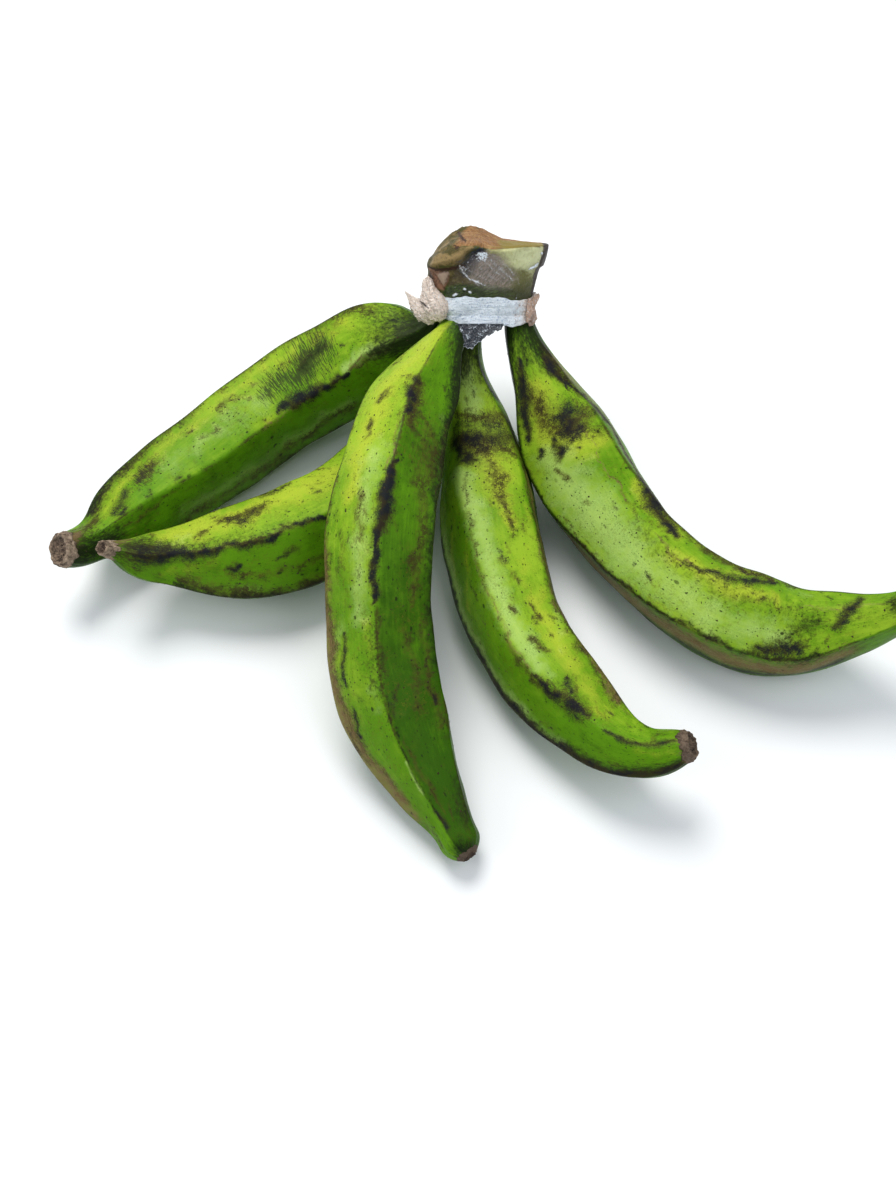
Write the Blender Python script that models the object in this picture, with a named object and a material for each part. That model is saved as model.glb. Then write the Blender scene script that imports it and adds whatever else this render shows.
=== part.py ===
"""A hand of five green plantains on one cut crown, with a crumpled film wrap round the necks.

Sizes are in millimetres here and become metres in the meshes. The floor is z = 0, the fruits
spread towards -Y, and the crown stands up at the back.
"""

import math

import bmesh
import bpy
import numpy as np
from mathutils import Vector

MM = 0.001
GAP = 0.3

# The neck is where the five stalks meet the crown. Its axis leans back from the upright.
NECK_CENTRE = np.array([-1.0, 97.5, 64.0])
NECK_LEAN = math.radians(43.0)
NECK_AXIS = np.array([0.0, math.sin(NECK_LEAN), math.cos(NECK_LEAN)])
NECK_SIDE = np.array([1.0, 0.0, 0.0])
NECK_FRONT = np.array([0.0, -math.cos(NECK_LEAN), math.sin(NECK_LEAN)])

# Each fruit is a row of stations from its stalk to its flower end: x, y, z, ridge radius.
# "ridges" are the angles of its five ridges round the section, counted from its upper side.
FRUITS = {
    "finger_left_back": {
        "stations": [
            (-19, 100, 62, 5.5), (-22, 96, 57, 6.5), (-31, 94, 51, 12.5), (-43, 97.5, 43, 18.5),
            (-62, 97.5, 31.5, 21), (-93, 82.5, 20.5, 21), (-122, 55.5, 18.5, 20), (-145, 32.5, 19, 18.5),
            (-158, 15.5, 22, 15), (-165, 5, 26, 10.5), (-170, -2, 30, 8.5), (-173, -6, 35, 7.5),
        ],
        "ridges": (328, 40, 112, 184, 256),
        "end": "blunt",
        "colour": (0.20, 0.32, 0.03),
    },
    "finger_left_front": {
        "stations": [
            (-8.5, 104, 58, 5.2), (-10.5, 102, 52, 6), (-18, 89, 35, 6.5), (-28, 73, 25, 11.5),
            (-42, 47, 21, 18.5), (-59, 22, 21.5, 22), (-76, 10, 21.5, 23), (-97, 2, 21.5, 21.5),
            (-118, -2, 23, 17), (-135, -5, 28, 11.5), (-146, -9, 37, 7.5), (-152, -10, 43, 4),
            (-156, -13, 48, 3),
        ],
        "ridges": (326, 38, 110, 182, 254),
        "end": "blunt",
        "colour": (0.22, 0.33, 0.03),
    },
    "finger_middle": {
        "stations": [
            (-10, 93, 68.5, 5.5), (-12, 88, 65, 6.5), (-18, 72, 69, 9.5), (-23, 60, 66, 15),
            (-32, 41, 63, 19), (-38, 14, 61, 20.5), (-42, -14, 56, 21.5), (-42, -38, 42, 21),
            (-38.5, -62, 27, 20.5), (-31.5, -82, 17, 18), (-23, -99, 12.5, 13.5), (-16.5, -111, 11.5, 10.5),
            (-10, -124, 12.5, 7.5), (-6, -130, 14, 4.5),
        ],
        "ridges": (2, 75, 145, 215, 290),
        "end": "round",
        "colour": (0.19, 0.29, 0.03),
    },
    "finger_right_front": {
        "stations": [
            (3.5, 100, 62, 5.2), (1.5, 96, 57, 5.8), (-5, 83, 47, 7), (-2, 62, 34, 12.5),
            (1.5, 31, 25, 18), (5, -6, 20.5, 21), (18.5, -44, 20, 20.5), (31.5, -63, 20, 18.5),
            (42, -78, 21.5, 15.5), (54, -89, 25, 11.5), (65, -94, 28.5, 9.5), (74, -94, 32, 7.5),
            (79, -94, 35, 5),
        ],
        "ridges": (13, 82, 150, 225, 300),
        "end": "round",
        "colour": (0.22, 0.36, 0.06),
    },
    "finger_right": {
        "stations": [
            (15, 96, 66, 5.5), (16, 91, 62, 6.5), (25, 73, 49, 12.5), (34.5, 58, 35, 20),
            (51.5, 29, 22, 22), (73, -4, 19.4, 21), (99, -26, 19.2, 20.5), (125, -36, 21, 19),
            (146, -40, 31, 13.5), (158, -40, 39, 9.5), (166, -40, 46, 8), (175, -38, 55, 7),
        ],
        "ridges": (323, 30, 68, 145, 235),
        "end": "blunt",
        "colour": (0.27, 0.40, 0.10),
    },
}
RINGS = 44
STEPS_PER_FACET = 5
FACET_FLATNESS = 0.64
RIDGE_REACH = 1.02
STALK_OVERSHOOT = 4.0

# The crown, in heights above the neck plane, with its half widths to each side.
CROWN_HEIGHTS = (0.0, 7.0, 14.0, 21.0, 28.0, 35.0)
CROWN_LEFT = (20.5, 22.0, 22.5, 22.5, 20.5, 18.0)
CROWN_RIGHT = (21.0, 22.0, 24.0, 26.5, 28.5, 29.0)
CROWN_FRONT = (13.0, 14.0, 15.5, 17.0, 17.5, 17.0)
CROWN_BACK = (13.0, 13.5, 14.5, 15.5, 15.5, 15.0)
CROWN_BOXINESS = 2.6
CROWN_SIDES = 40
CROWN_RINGS = 11
CROWN_TOP_RINGS = (0.96, 0.84, 0.62, 0.36, 0.14)
CROWN_TOP_X = (-23.0, -18.0, -13.0, -8.0, -4.0, 1.0, 5.0, 10.0, 18.0, 30.0)
CROWN_TOP_HEIGHT = (22.0, 27.8, 31.4, 33.2, 33.6, 32.4, 31.2, 30.2, 29.4, 28.0)
CROWN_TOP_TILT = (0.05, 0.08, 0.13, 0.19, 0.20, 0.17, 0.13, 0.05, 0.0, 0.0)
# Hollows in the crown's front: side, height, width, depth.
CROWN_HOLLOWS = ((-6.0, 20.0, 5.5, 3.4), (14.0, 17.0, 10.0, 3.2), (-13.0, 26.0, 3.0, 1.4))

# The film wrap is a crumpled band that starts just off the stalks and the crown.
FILM_HEIGHTS = (-9.0, -6.0, -2.0, 3.0, 9.0)
FILM_LEFT = (25.0, 25.5, 25.5, 24.0, 24.0)
FILM_RIGHT = (26.5, 25.5, 23.6, 22.8, 23.4)
FILM_FRONT = (18.0, 17.5, 16.0, 14.6, 15.2)
FILM_BACK = (22.0, 21.0, 18.0, 14.8, 14.6)
FILM_SIDES = 60
FILM_INNER_RINGS = 6
FILM_OUTER_RINGS = 9
FILM_WALL = 1.1


def clear_scene():
    """Remove whatever the file holds."""
    for thing in list(bpy.data.objects):
        bpy.data.objects.remove(thing, do_unlink=True)


def smooth_route(stations, count):
    """Points and radii along a natural cubic spline through the stations, evenly spaced."""
    points = np.array(stations, dtype=float)
    steps = np.linalg.norm(np.diff(points[:, :3], axis=0), axis=1)
    knots = np.concatenate([[0.0], np.cumsum(steps)])
    size = len(points)
    system = np.eye(size)
    bends = np.zeros_like(points)
    for i in range(1, size - 1):
        before = knots[i] - knots[i - 1]
        after = knots[i + 1] - knots[i]
        system[i, i - 1:i + 2] = (before, 2 * (before + after), after)
        bends[i] = 6 * ((points[i + 1] - points[i]) / after - (points[i] - points[i - 1]) / before)
    curvature = np.linalg.solve(system, bends)
    along = np.linspace(0.0, knots[-1], count)
    left = np.clip(np.searchsorted(knots, along, side="right") - 1, 0, size - 2)
    span = (knots[left + 1] - knots[left])[:, None]
    a = (knots[left + 1] - along)[:, None] / span
    b = 1.0 - a
    cubic = (a**3 - a) * curvature[left] + (b**3 - b) * curvature[left + 1]
    return a * points[left] + b * points[left + 1] + cubic * span**2 / 6


def carried_frames(centres):
    """Tangent, upper side and cross side at each centre, with the least turn from one to the next."""
    tangents = np.gradient(centres, axis=0)
    tangents /= np.linalg.norm(tangents, axis=1)[:, None]
    side = np.array([0.0, 0.0, 1.0])
    uppers = []
    for tangent in tangents:
        side = side - tangent * side.dot(tangent)
        side /= np.linalg.norm(side)
        uppers.append(side)
    uppers = np.array(uppers)
    return tangents, uppers, np.cross(tangents, uppers)


def ridged_section(ridges, flatness):
    """Angles and radius factors of a rounded polygon whose corners are the ridges."""
    corners = sorted(ridges)
    angles = []
    factors = []
    for i, start in enumerate(corners):
        end = corners[i + 1] if i + 1 < len(corners) else corners[0] + 360
        half = math.radians(end - start) / 2
        for step in range(STEPS_PER_FACET):
            offset = half * (2 * step / STEPS_PER_FACET - 1)
            chord = math.cos(half) / math.cos(offset)
            angles.append(math.radians(start) + half + offset)
            factors.append(1 - flatness + flatness * chord)
    return np.array(angles), np.array(factors)


def add_skin(mesh, rings, closed):
    """Quads between neighbouring rings of vertices; a closed skin joins the last to the first."""
    count = len(rings)
    for i in range(count if closed else count - 1):
        lower = rings[i]
        upper = rings[(i + 1) % count]
        for j in range(len(lower)):
            k = (j + 1) % len(lower)
            mesh.faces.new((lower[j], lower[k], upper[k], upper[j]))


def add_ring(mesh, points):
    """A ring of vertices at points given in millimetres."""
    return [mesh.verts.new(Vector(point) * MM) for point in points]


def add_fan(mesh, ring, centre):
    """Triangles from a ring to one vertex at its middle."""
    hub = mesh.verts.new(Vector(centre) * MM)
    for j in range(len(ring)):
        mesh.faces.new((ring[j], ring[(j + 1) % len(ring)], hub))


def trim(mesh, origin, normal):
    """Cut the mesh flat at a plane, drop what lies on the normal's side and close the cut."""
    geometry = mesh.verts[:] + mesh.edges[:] + mesh.faces[:]
    bmesh.ops.bisect_plane(
        mesh, geom=geometry, dist=1e-6, plane_co=Vector(origin) * MM, plane_no=Vector(normal), clear_outer=True
    )
    rims = [edge for edge in mesh.edges if edge.is_boundary]
    if rims:
        bmesh.ops.holes_fill(mesh, edges=rims, sides=0)


def make_material(name, colour, roughness):
    """A plain Principled material."""
    material = bpy.data.materials.new(name)
    material.use_nodes = True
    shader = material.node_tree.nodes["Principled BSDF"]
    shader.inputs["Base Color"].default_value = (*colour, 1.0)
    shader.inputs["Roughness"].default_value = roughness
    shader.inputs["Metallic"].default_value = 0.0
    return material


def make_object(name, mesh, material, collection):
    """Turn a bmesh into a shaded object in the collection."""
    bmesh.ops.recalc_face_normals(mesh, faces=mesh.faces[:])
    data = bpy.data.meshes.new(name)
    mesh.to_mesh(data)
    mesh.free()
    data.materials.append(material)
    data.shade_smooth()
    data.set_sharp_from_angle(angle=math.radians(50))
    piece = bpy.data.objects.new(name, data)
    collection.objects.link(piece)
    return piece


def make_fruit(name, spec, collection):
    """One plantain: a ridged loft from its stalk at the neck to its flower end, flat where it rests."""
    route = smooth_route(spec["stations"], RINGS)
    centres = route[:, :3]
    radii = route[:, 3]
    tangents, uppers, crosses = carried_frames(centres)
    centres[0] -= tangents[0] * STALK_OVERSHOOT
    mesh = bmesh.new()
    rings = []
    for i in range(RINGS):
        along = i / (RINGS - 1)
        flatness = FACET_FLATNESS * min(1.0, along / 0.12, (1.02 - along) / 0.1)
        angles, factors = ridged_section(spec["ridges"], flatness)
        reach = (radii[i] * RIDGE_REACH * factors)[:, None]
        points = centres[i] + reach * (np.cos(angles)[:, None] * uppers[i] + np.sin(angles)[:, None] * crosses[i])
        rings.append(add_ring(mesh, points))
    add_skin(mesh, rings, closed=False)
    add_fan(mesh, rings[0], centres[0])
    last = np.array([vertex.co for vertex in rings[-1]]) / MM
    inset, push = ((0.72, -0.8), (0.45, 1.6))[spec["end"] == "round"]
    scar = add_ring(mesh, centres[-1] + (last - centres[-1]) * inset + tangents[-1] * push)
    add_skin(mesh, [rings[-1], scar], closed=False)
    add_fan(mesh, scar, centres[-1] + tangents[-1] * push)
    trim(mesh, NECK_CENTRE, NECK_AXIS)
    trim(mesh, (0.0, 0.0, 0.0), (0.0, 0.0, -1.0))
    return make_object(name, mesh, make_material(name, spec["colour"], 0.45), collection)


def neck_point(side, front, height):
    """A point from its distances to the right of, in front of and above the neck's centre."""
    return NECK_CENTRE + NECK_SIDE * side + NECK_FRONT * front + NECK_AXIS * height


def rounded_radius(angle, right, left, front, back, boxiness):
    """Radius of an outline with its own half width on each side; angle 0 is right, 90 is front."""
    across = math.cos(angle)
    ahead = math.sin(angle)
    width = right if across > 0 else left
    depth = front if ahead > 0 else back
    return (abs(across / width)**boxiness + abs(ahead / depth)**boxiness)**(-1 / boxiness)


def crown_radius(angle, height):
    """Radius of the crown's side at a height, with its hollows."""
    widths = [np.interp(height, CROWN_HEIGHTS, row) for row in (CROWN_RIGHT, CROWN_LEFT, CROWN_FRONT, CROWN_BACK)]
    radius = rounded_radius(angle, *widths, CROWN_BOXINESS)
    if math.sin(angle) > 0:
        for side, level, width, depth in CROWN_HOLLOWS:
            away = math.hypot(radius * math.cos(angle) - side, height - level) / width
            radius -= depth * math.exp(-away * away) * math.sin(angle)
    return radius


def crown_top(side, front):
    """Height of the cut top: a lobe on the left that tilts to the front, falling to the cut corner."""
    tilt = np.interp(side, CROWN_TOP_X, CROWN_TOP_TILT)
    return np.interp(side, CROWN_TOP_X, CROWN_TOP_HEIGHT) - tilt * front - 0.003 * front * front


def make_crown(collection):
    """The cut crown, from its flat foot inside the wrap to its top."""
    angles = np.linspace(0.0, 2 * math.pi, CROWN_SIDES, endpoint=False)
    rims = []
    for angle in angles:
        radius = crown_radius(angle, 28.0)
        rims.append(crown_top(radius * math.cos(angle), radius * math.sin(angle)) - 0.8)
    mesh = bmesh.new()
    rings = []
    for i in range(CROWN_RINGS):
        points = []
        for angle, rim in zip(angles, rims):
            height = GAP + (rim - GAP) * i / (CROWN_RINGS - 1)
            radius = crown_radius(angle, height)
            points.append(neck_point(radius * math.cos(angle), radius * math.sin(angle), height))
        rings.append(add_ring(mesh, points))
    for share in CROWN_TOP_RINGS:
        points = []
        for angle, rim in zip(angles, rims):
            radius = crown_radius(angle, rim) * share
            side = radius * math.cos(angle)
            front = radius * math.sin(angle)
            points.append(neck_point(side, front, crown_top(side, front)))
        rings.append(add_ring(mesh, points))
    add_skin(mesh, rings, closed=False)
    add_fan(mesh, rings[0], neck_point(0.0, 0.0, GAP))
    add_fan(mesh, rings[-1], neck_point(0.0, 0.0, crown_top(0.0, 0.0)))
    return make_object("crown", mesh, make_material("crown", (0.22, 0.17, 0.07), 0.6), collection)


def bump(angle, centre, width):
    """A smooth hump of height 1 round an angle in degrees."""
    away = (math.degrees(angle) - centre + 180) % 360 - 180
    return math.exp(-(away / width)**2)


def film_edges(angle):
    """Lower and upper edge of the wrap at an angle: a flap hangs at the front, and it rises at the left back."""
    wave = 0.6 * math.sin(7 * angle) + 0.4 * math.sin(13 * angle + 1.0)
    lower = -5.5 + 0.8 * wave - 3.0 * bump(angle, 72, 16) + 7.2 * bump(angle, 185, 40) + 4.5 * bump(angle, 120, 24)
    upper = 6.8 + 0.7 * wave + 8.0 * bump(angle, 172, 24)
    return lower, upper


def make_film(collection):
    """The wrap: a closed band with a smooth inner wall and a crumpled outer one."""
    mesh = bmesh.new()
    angles = np.linspace(0.0, 2 * math.pi, FILM_SIDES, endpoint=False)
    walls = [(i / (FILM_INNER_RINGS - 1), 0.0) for i in range(FILM_INNER_RINGS)]
    walls += [(1 - (i + 0.5) / FILM_OUTER_RINGS, 1.0) for i in range(FILM_OUTER_RINGS)]
    rings = []
    for share, outside in walls:
        points = []
        for angle in angles:
            lower, upper = film_edges(angle)
            height = lower + share * (upper - lower)
            widths = [np.interp(height, FILM_HEIGHTS, row) for row in (FILM_RIGHT, FILM_LEFT, FILM_FRONT, FILM_BACK)]
            radius = rounded_radius(angle, *widths, 2.3)
            crumple = math.sin(9 * angle + 5 * share) * math.sin(5 * angle - 7 * share + 0.8)
            tuft = 5.0 * bump(angle, 172, 11) * share + 2.2 * bump(angle, 352, 13)
            radius += outside * (FILM_WALL + 1.4 * math.sin(math.pi * share) + 0.7 * crumple + tuft)
            points.append(neck_point(radius * math.cos(angle), radius * math.sin(angle), height))
        rings.append(add_ring(mesh, points))
    add_skin(mesh, rings, closed=True)
    return make_object("film_wrap", mesh, make_material("film_wrap", (0.80, 0.82, 0.84), 0.25), collection)


def centre_on_origin(pieces):
    """Move every mesh so that the whole part's box is centred on the Z axis and stands on z = 0."""
    corners = np.array([vertex.co for piece in pieces for vertex in piece.data.vertices])
    low = corners.min(axis=0)
    high = corners.max(axis=0)
    shift = Vector((-(low[0] + high[0]) / 2, -(low[1] + high[1]) / 2, -low[2]))
    for piece in pieces:
        piece.location = shift
    print("moved by", [round(value / MM, 3) for value in shift], "mm, size", (high - low) / MM)


def main():
    clear_scene()
    collection = bpy.data.collections.new("plantain_hand")
    bpy.context.scene.collection.children.link(collection)
    pieces = [make_fruit(name, spec, collection) for name, spec in FRUITS.items()]
    pieces.append(make_crown(collection))
    pieces.append(make_film(collection))
    centre_on_origin(pieces)


main()
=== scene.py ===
import math

import bpy
import numpy as np
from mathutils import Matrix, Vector


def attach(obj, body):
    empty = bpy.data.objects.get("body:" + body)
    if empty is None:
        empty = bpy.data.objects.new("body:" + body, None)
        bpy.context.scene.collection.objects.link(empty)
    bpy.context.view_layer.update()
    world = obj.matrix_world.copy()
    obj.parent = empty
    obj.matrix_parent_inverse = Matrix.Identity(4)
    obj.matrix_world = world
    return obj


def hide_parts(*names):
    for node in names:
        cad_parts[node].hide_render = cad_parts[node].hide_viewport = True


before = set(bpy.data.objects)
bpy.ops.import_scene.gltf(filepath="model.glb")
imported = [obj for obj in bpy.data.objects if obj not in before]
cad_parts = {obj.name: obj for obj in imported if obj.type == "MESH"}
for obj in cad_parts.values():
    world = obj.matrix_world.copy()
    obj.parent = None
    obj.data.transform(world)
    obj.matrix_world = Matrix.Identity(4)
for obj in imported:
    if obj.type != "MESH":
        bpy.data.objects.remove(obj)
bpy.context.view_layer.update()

# A hand of five green plantains on its cut crown, with cling film crumpled round the necks.
# Sizes are millimetres until a mesh is made. A fruit's marks are given by their distance along
# it from the stalk and their angle round it, counted from its upper side like its ridges.
mm = 0.001
handShift = np.array([-0.120, 0.188, 0.0])  # puts the hand's middle over the origin


# ---- stage, camera and light

stageSettings = {
    "floorSize": 6.0,
    "floorColour": (0.90, 0.91, 0.925),
    "worldColour": (0.89, 0.945, 1.0),
    "worldStrength": 0.52,
    "cameraTarget": (-15.12, -7.81, 0.0),
    "cameraElevation": 60.0,
    "cameraDistance": 620.0,
    "cameraLens": 43.0,
    # name: place in mm, size in mm, power, colour
    "lights": {
        "key": ((-230, 560, 1050), 700, 11.2, (1.0, 0.98, 0.95)),
        "fill": ((650, -250, 900), 900, 2.8, (0.95, 0.975, 1.0)),
        "kicker": ((-800, -300, 600), 600, 1.8, (1.0, 1.0, 1.0)),
    },
}


def aimAt(thing, place, target):
    thing.location = Vector(place) * mm
    thing.rotation_euler = (Vector(target) - Vector(place)).to_track_quat("-Z", "Y").to_euler()


def makeStage(settings):
    scene = bpy.context.scene
    scene.view_settings.view_transform = "Standard"
    target = Vector(settings["cameraTarget"])
    tilt = math.radians(settings["cameraElevation"])
    reach = settings["cameraDistance"]
    place = target + Vector((0.0, -math.cos(tilt) * reach, math.sin(tilt) * reach))
    cameraData = bpy.data.cameras.new("camera")
    cameraData.lens = settings["cameraLens"]
    camera = bpy.data.objects.new("camera", cameraData)
    scene.collection.objects.link(camera)
    aimAt(camera, place, target)
    scene.camera = camera

    world = bpy.data.worlds.new("studio")
    world.use_nodes = True
    background = world.node_tree.nodes["Background"]
    background.inputs["Color"].default_value = (*settings["worldColour"], 1.0)
    background.inputs["Strength"].default_value = settings["worldStrength"]
    scene.world = world

    for name, (lampPlace, size, power, colour) in settings["lights"].items():
        lampData = bpy.data.lights.new(name, "AREA")
        lampData.shape = "DISK"
        lampData.size = size * mm
        lampData.energy = power
        lampData.color = colour
        lamp = bpy.data.objects.new(name, lampData)
        scene.collection.objects.link(lamp)
        aimAt(lamp, lampPlace, (0.0, 0.0, 20.0))

    half = settings["floorSize"] / 2
    corners = [(-half, -half, 0), (half, -half, 0), (half, half, 0), (-half, half, 0)]
    floorData = bpy.data.meshes.new("floor")
    floorData.from_pydata(corners, [], [(0, 1, 2, 3)])
    floor = bpy.data.objects.new("floor", floorData)
    scene.collection.objects.link(floor)
    paint = bpy.data.materials.new("floor_paper")
    paint.use_nodes = True
    shader = paint.node_tree.nodes["Principled BSDF"]
    shader.inputs["Base Color"].default_value = (*settings["floorColour"], 1.0)
    shader.inputs["Roughness"].default_value = 0.75
    floorData.materials.append(paint)
    print("stage, camera and light are in place")


# ---- helpers for node materials

class Nodes:
    # a thin layer over a node tree, so that a material reads from top to bottom

    def __init__(self, name):
        self.material = bpy.data.materials.new(name)
        self.material.use_nodes = True
        self.tree = self.material.node_tree
        self.shader = self.tree.nodes["Principled BSDF"]

    def feed(self, socket, value):
        if isinstance(value, bpy.types.NodeSocket):
            self.tree.links.new(value, socket)
        elif isinstance(value, tuple) and len(value) == 3 and socket.type == "RGBA":
            socket.default_value = (*value, 1.0)
        else:
            socket.default_value = value

    def attribute(self, name, vector=False):
        node = self.tree.nodes.new("ShaderNodeAttribute")
        node.attribute_name = name
        return node.outputs["Vector" if vector else "Fac"]

    def place(self):
        return self.tree.nodes.new("ShaderNodeTexCoord").outputs["Object"]

    def mapping(self, vector, scale=(1.0, 1.0, 1.0), turn=0.0):
        node = self.tree.nodes.new("ShaderNodeMapping")
        self.feed(node.inputs["Vector"], vector)
        node.inputs["Scale"].default_value = scale
        node.inputs["Rotation"].default_value = (0.0, 0.0, math.radians(turn))
        return node.outputs["Vector"]

    def noise(self, vector, scale, detail=3.0, roughness=0.55, distortion=0.0):
        node = self.tree.nodes.new("ShaderNodeTexNoise")
        self.feed(node.inputs["Vector"], vector)
        node.inputs["Scale"].default_value = scale
        node.inputs["Detail"].default_value = detail
        node.inputs["Roughness"].default_value = roughness
        node.inputs["Distortion"].default_value = distortion
        return node.outputs["Fac"]

    def cells(self, vector, scale):
        node = self.tree.nodes.new("ShaderNodeTexVoronoi")
        self.feed(node.inputs["Vector"], vector)
        node.inputs["Scale"].default_value = scale
        return node.outputs["Distance"], node.outputs["Color"]

    def math(self, operation, first, second=0.0, third=0.0, clamp=False):
        node = self.tree.nodes.new("ShaderNodeMath")
        node.operation = operation
        node.use_clamp = clamp
        for socket, value in zip(node.inputs, (first, second, third)):
            self.feed(socket, value)
        return node.outputs[0]

    def ramp(self, value, low, high, fromLow=0.0, toHigh=1.0):
        # smooth step of value from low to high
        node = self.tree.nodes.new("ShaderNodeMapRange")
        node.interpolation_type = "SMOOTHSTEP"
        self.feed(node.inputs["Value"], value)
        node.inputs["From Min"].default_value = low
        node.inputs["From Max"].default_value = high
        node.inputs["To Min"].default_value = fromLow
        node.inputs["To Max"].default_value = toHigh
        return node.outputs["Result"]

    def mix(self, amount, first, second, most=None):
        # most limits how much of the second colour can show
        if most is not None:
            amount = self.math("MULTIPLY", amount, most)
        node = self.tree.nodes.new("ShaderNodeMix")
        node.data_type = "RGBA"
        self.feed(node.inputs[0], amount)
        self.feed(node.inputs[6], first)
        self.feed(node.inputs[7], second)
        return node.outputs[2]

    def split(self, colour):
        node = self.tree.nodes.new("ShaderNodeSeparateColor")
        self.feed(node.inputs[0], colour)
        return node.outputs

    def broken(self, field, noise, amount, low, high):
        # a painted field whose edge is broken up by a noise; where nothing is painted it stays 0
        shift = self.math("MULTIPLY_ADD", self.stretch(noise), amount, -amount / 2)
        painted = self.ramp(field, 0.0, 0.12)
        return self.math("MULTIPLY", self.ramp(self.math("ADD", field, shift), low, high), painted)

    def cover(self, colour, layer, noise, amount, low, high, paint):
        # colour with paint over it where a painted layer says so
        return self.mix(self.broken(self.attribute(layer), noise, amount, low, high), colour, paint)

    def stretch(self, noise, low=0.30, high=0.70):
        node = self.tree.nodes.new("ShaderNodeMapRange")
        self.feed(node.inputs["Value"], noise)
        node.inputs["From Min"].default_value = low
        node.inputs["From Max"].default_value = high
        return node.outputs["Result"]

    def bump(self, height, distance, strength=1.0):
        node = self.tree.nodes.new("ShaderNodeBump")
        self.feed(node.inputs["Height"], height)
        node.inputs["Distance"].default_value = distance * mm
        node.inputs["Strength"].default_value = strength
        self.tree.links.new(node.outputs["Normal"], self.shader.inputs["Normal"])


def linkPiece(name, points, faces, material, attributes):
    # points in mm become one smooth object at the origin, with its painted attributes
    data = bpy.data.meshes.new(name)
    data.from_pydata([tuple(point) for point in np.asarray(points) * mm], [], faces)
    data.materials.append(material)
    for key, values in attributes:
        values = np.asarray(values, dtype=float)
        kind = "FLOAT_VECTOR" if values.ndim == 2 else "FLOAT"
        layer = data.attributes.new(key, kind, "POINT")
        layer.data.foreach_set("vector" if values.ndim == 2 else "value", values.ravel())
    data.shade_smooth()
    data.update()
    piece = bpy.data.objects.new(name, data)
    bpy.context.scene.collection.objects.link(piece)
    return piece


def gridFaces(rings, sides, startFan=None, endFan=None):
    # quads between rings of vertices that each close on themselves, and fans to a point at each end
    faces = []
    for i in range(rings - 1):
        for j in range(sides):
            k = (j + 1) % sides
            faces.append((i * sides + j, i * sides + k, (i + 1) * sides + k, (i + 1) * sides + j))
    if startFan is not None:
        for j in range(sides):
            faces.append(((j + 1) % sides, j, startFan))
    if endFan is not None:
        last = (rings - 1) * sides
        for j in range(sides):
            faces.append((last + j, last + (j + 1) % sides, endFan))
    return faces


def smoothRoute(stations, count):
    # points and radii on a natural cubic spline through the stations, evenly spaced
    points = np.array(stations, dtype=float)
    steps = np.linalg.norm(np.diff(points[:, :3], axis=0), axis=1)
    knots = np.concatenate([[0.0], np.cumsum(steps)])
    size = len(points)
    system = np.eye(size)
    bends = np.zeros_like(points)
    for i in range(1, size - 1):
        before = knots[i] - knots[i - 1]
        after = knots[i + 1] - knots[i]
        system[i, i - 1:i + 2] = (before, 2 * (before + after), after)
        bends[i] = 6 * ((points[i + 1] - points[i]) / after - (points[i] - points[i - 1]) / before)
    curvature = np.linalg.solve(system, bends)
    along = np.linspace(0.0, knots[-1], count)
    left = np.clip(np.searchsorted(knots, along, side="right") - 1, 0, size - 2)
    span = (knots[left + 1] - knots[left])[:, None]
    a = (knots[left + 1] - along)[:, None] / span
    b = 1.0 - a
    cubic = (a**3 - a) * curvature[left] + (b**3 - b) * curvature[left + 1]
    return a * points[left] + b * points[left + 1] + cubic * span**2 / 6


def carriedFrames(centres, start=(0.0, 0.0, 1.0)):
    # tangent, upper side and cross side at each centre, with the least turn between neighbours
    tangents = np.gradient(centres, axis=0)
    tangents /= np.linalg.norm(tangents, axis=1)[:, None]
    side = np.array(start)
    uppers = []
    for tangent in tangents:
        side = side - tangent * side.dot(tangent)
        side /= np.linalg.norm(side)
        uppers.append(side)
    uppers = np.array(uppers)
    return tangents, uppers, np.cross(tangents, uppers)


def turnBetween(angle, other):
    return (angle - other + 180.0) % 360.0 - 180.0


def waves(along, around, seed, sizes):
    # soft uneven relief from a few crossing waves; around is in degrees
    draw = np.random.default_rng(seed)
    total = np.zeros(np.broadcast(along, around).shape)
    for length, turns, height in sizes:
        phase = draw.uniform(0.0, 2 * math.pi, 2)
        swing = np.sin(2 * math.pi * along / length + phase[0] + 1.3 * np.sin(np.radians(around) + phase[1]))
        total = total + height * swing * np.cos(np.radians(around) * turns + phase[1])
    return total


def strokeField(along, around, radius, points):
    # 1 on a stroke's line, falling to 0 at its half width; points are along, angle, half width
    field = np.zeros(along.shape)
    perDegree = radius * math.pi / 180.0
    path = list(points)
    if len(path) == 1:
        path = path * 2
    for (a0, t0, w0), (a1, t1, w1) in zip(path[:-1], path[1:]):
        dx = along - a0
        dy = turnBetween(around, t0) * perDegree
        sx = a1 - a0
        sy = turnBetween(t1, t0) * perDegree
        share = np.clip((dx * sx + dy * sy) / np.maximum(sx * sx + sy * sy, 1e-6), 0.0, 1.0)
        away = np.hypot(dx - share * sx, dy - share * sy)
        width = w0 + (w1 - w0) * share
        field = np.maximum(field, np.clip(1.0 - away / width, 0.0, 1.0))
    return field


def crumple(points, seed, size, count=7, octaves=3):
    # crumpled relief at points in space: sharp folds in random directions, from about -1 to 1
    draw = np.random.default_rng(seed)
    total = np.zeros(points.shape[:-1])
    weight = 0.0
    for octave in range(octaves):
        length = size / 2**octave
        for _ in range(count):
            heading = draw.normal(size=3)
            heading /= np.linalg.norm(heading)
            bend = draw.normal(size=3) / (2.5 * length)
            across = points @ heading / length + draw.uniform()
            across = across + 0.35 * np.sin(points @ bend + draw.uniform(0.0, 6.0))
            total = total + (np.abs(across % 1.0 - 0.5) * 4.0 - 1.0) / 2**octave
            weight += 1.0 / 2**octave
    return total / weight * 2.0


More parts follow.
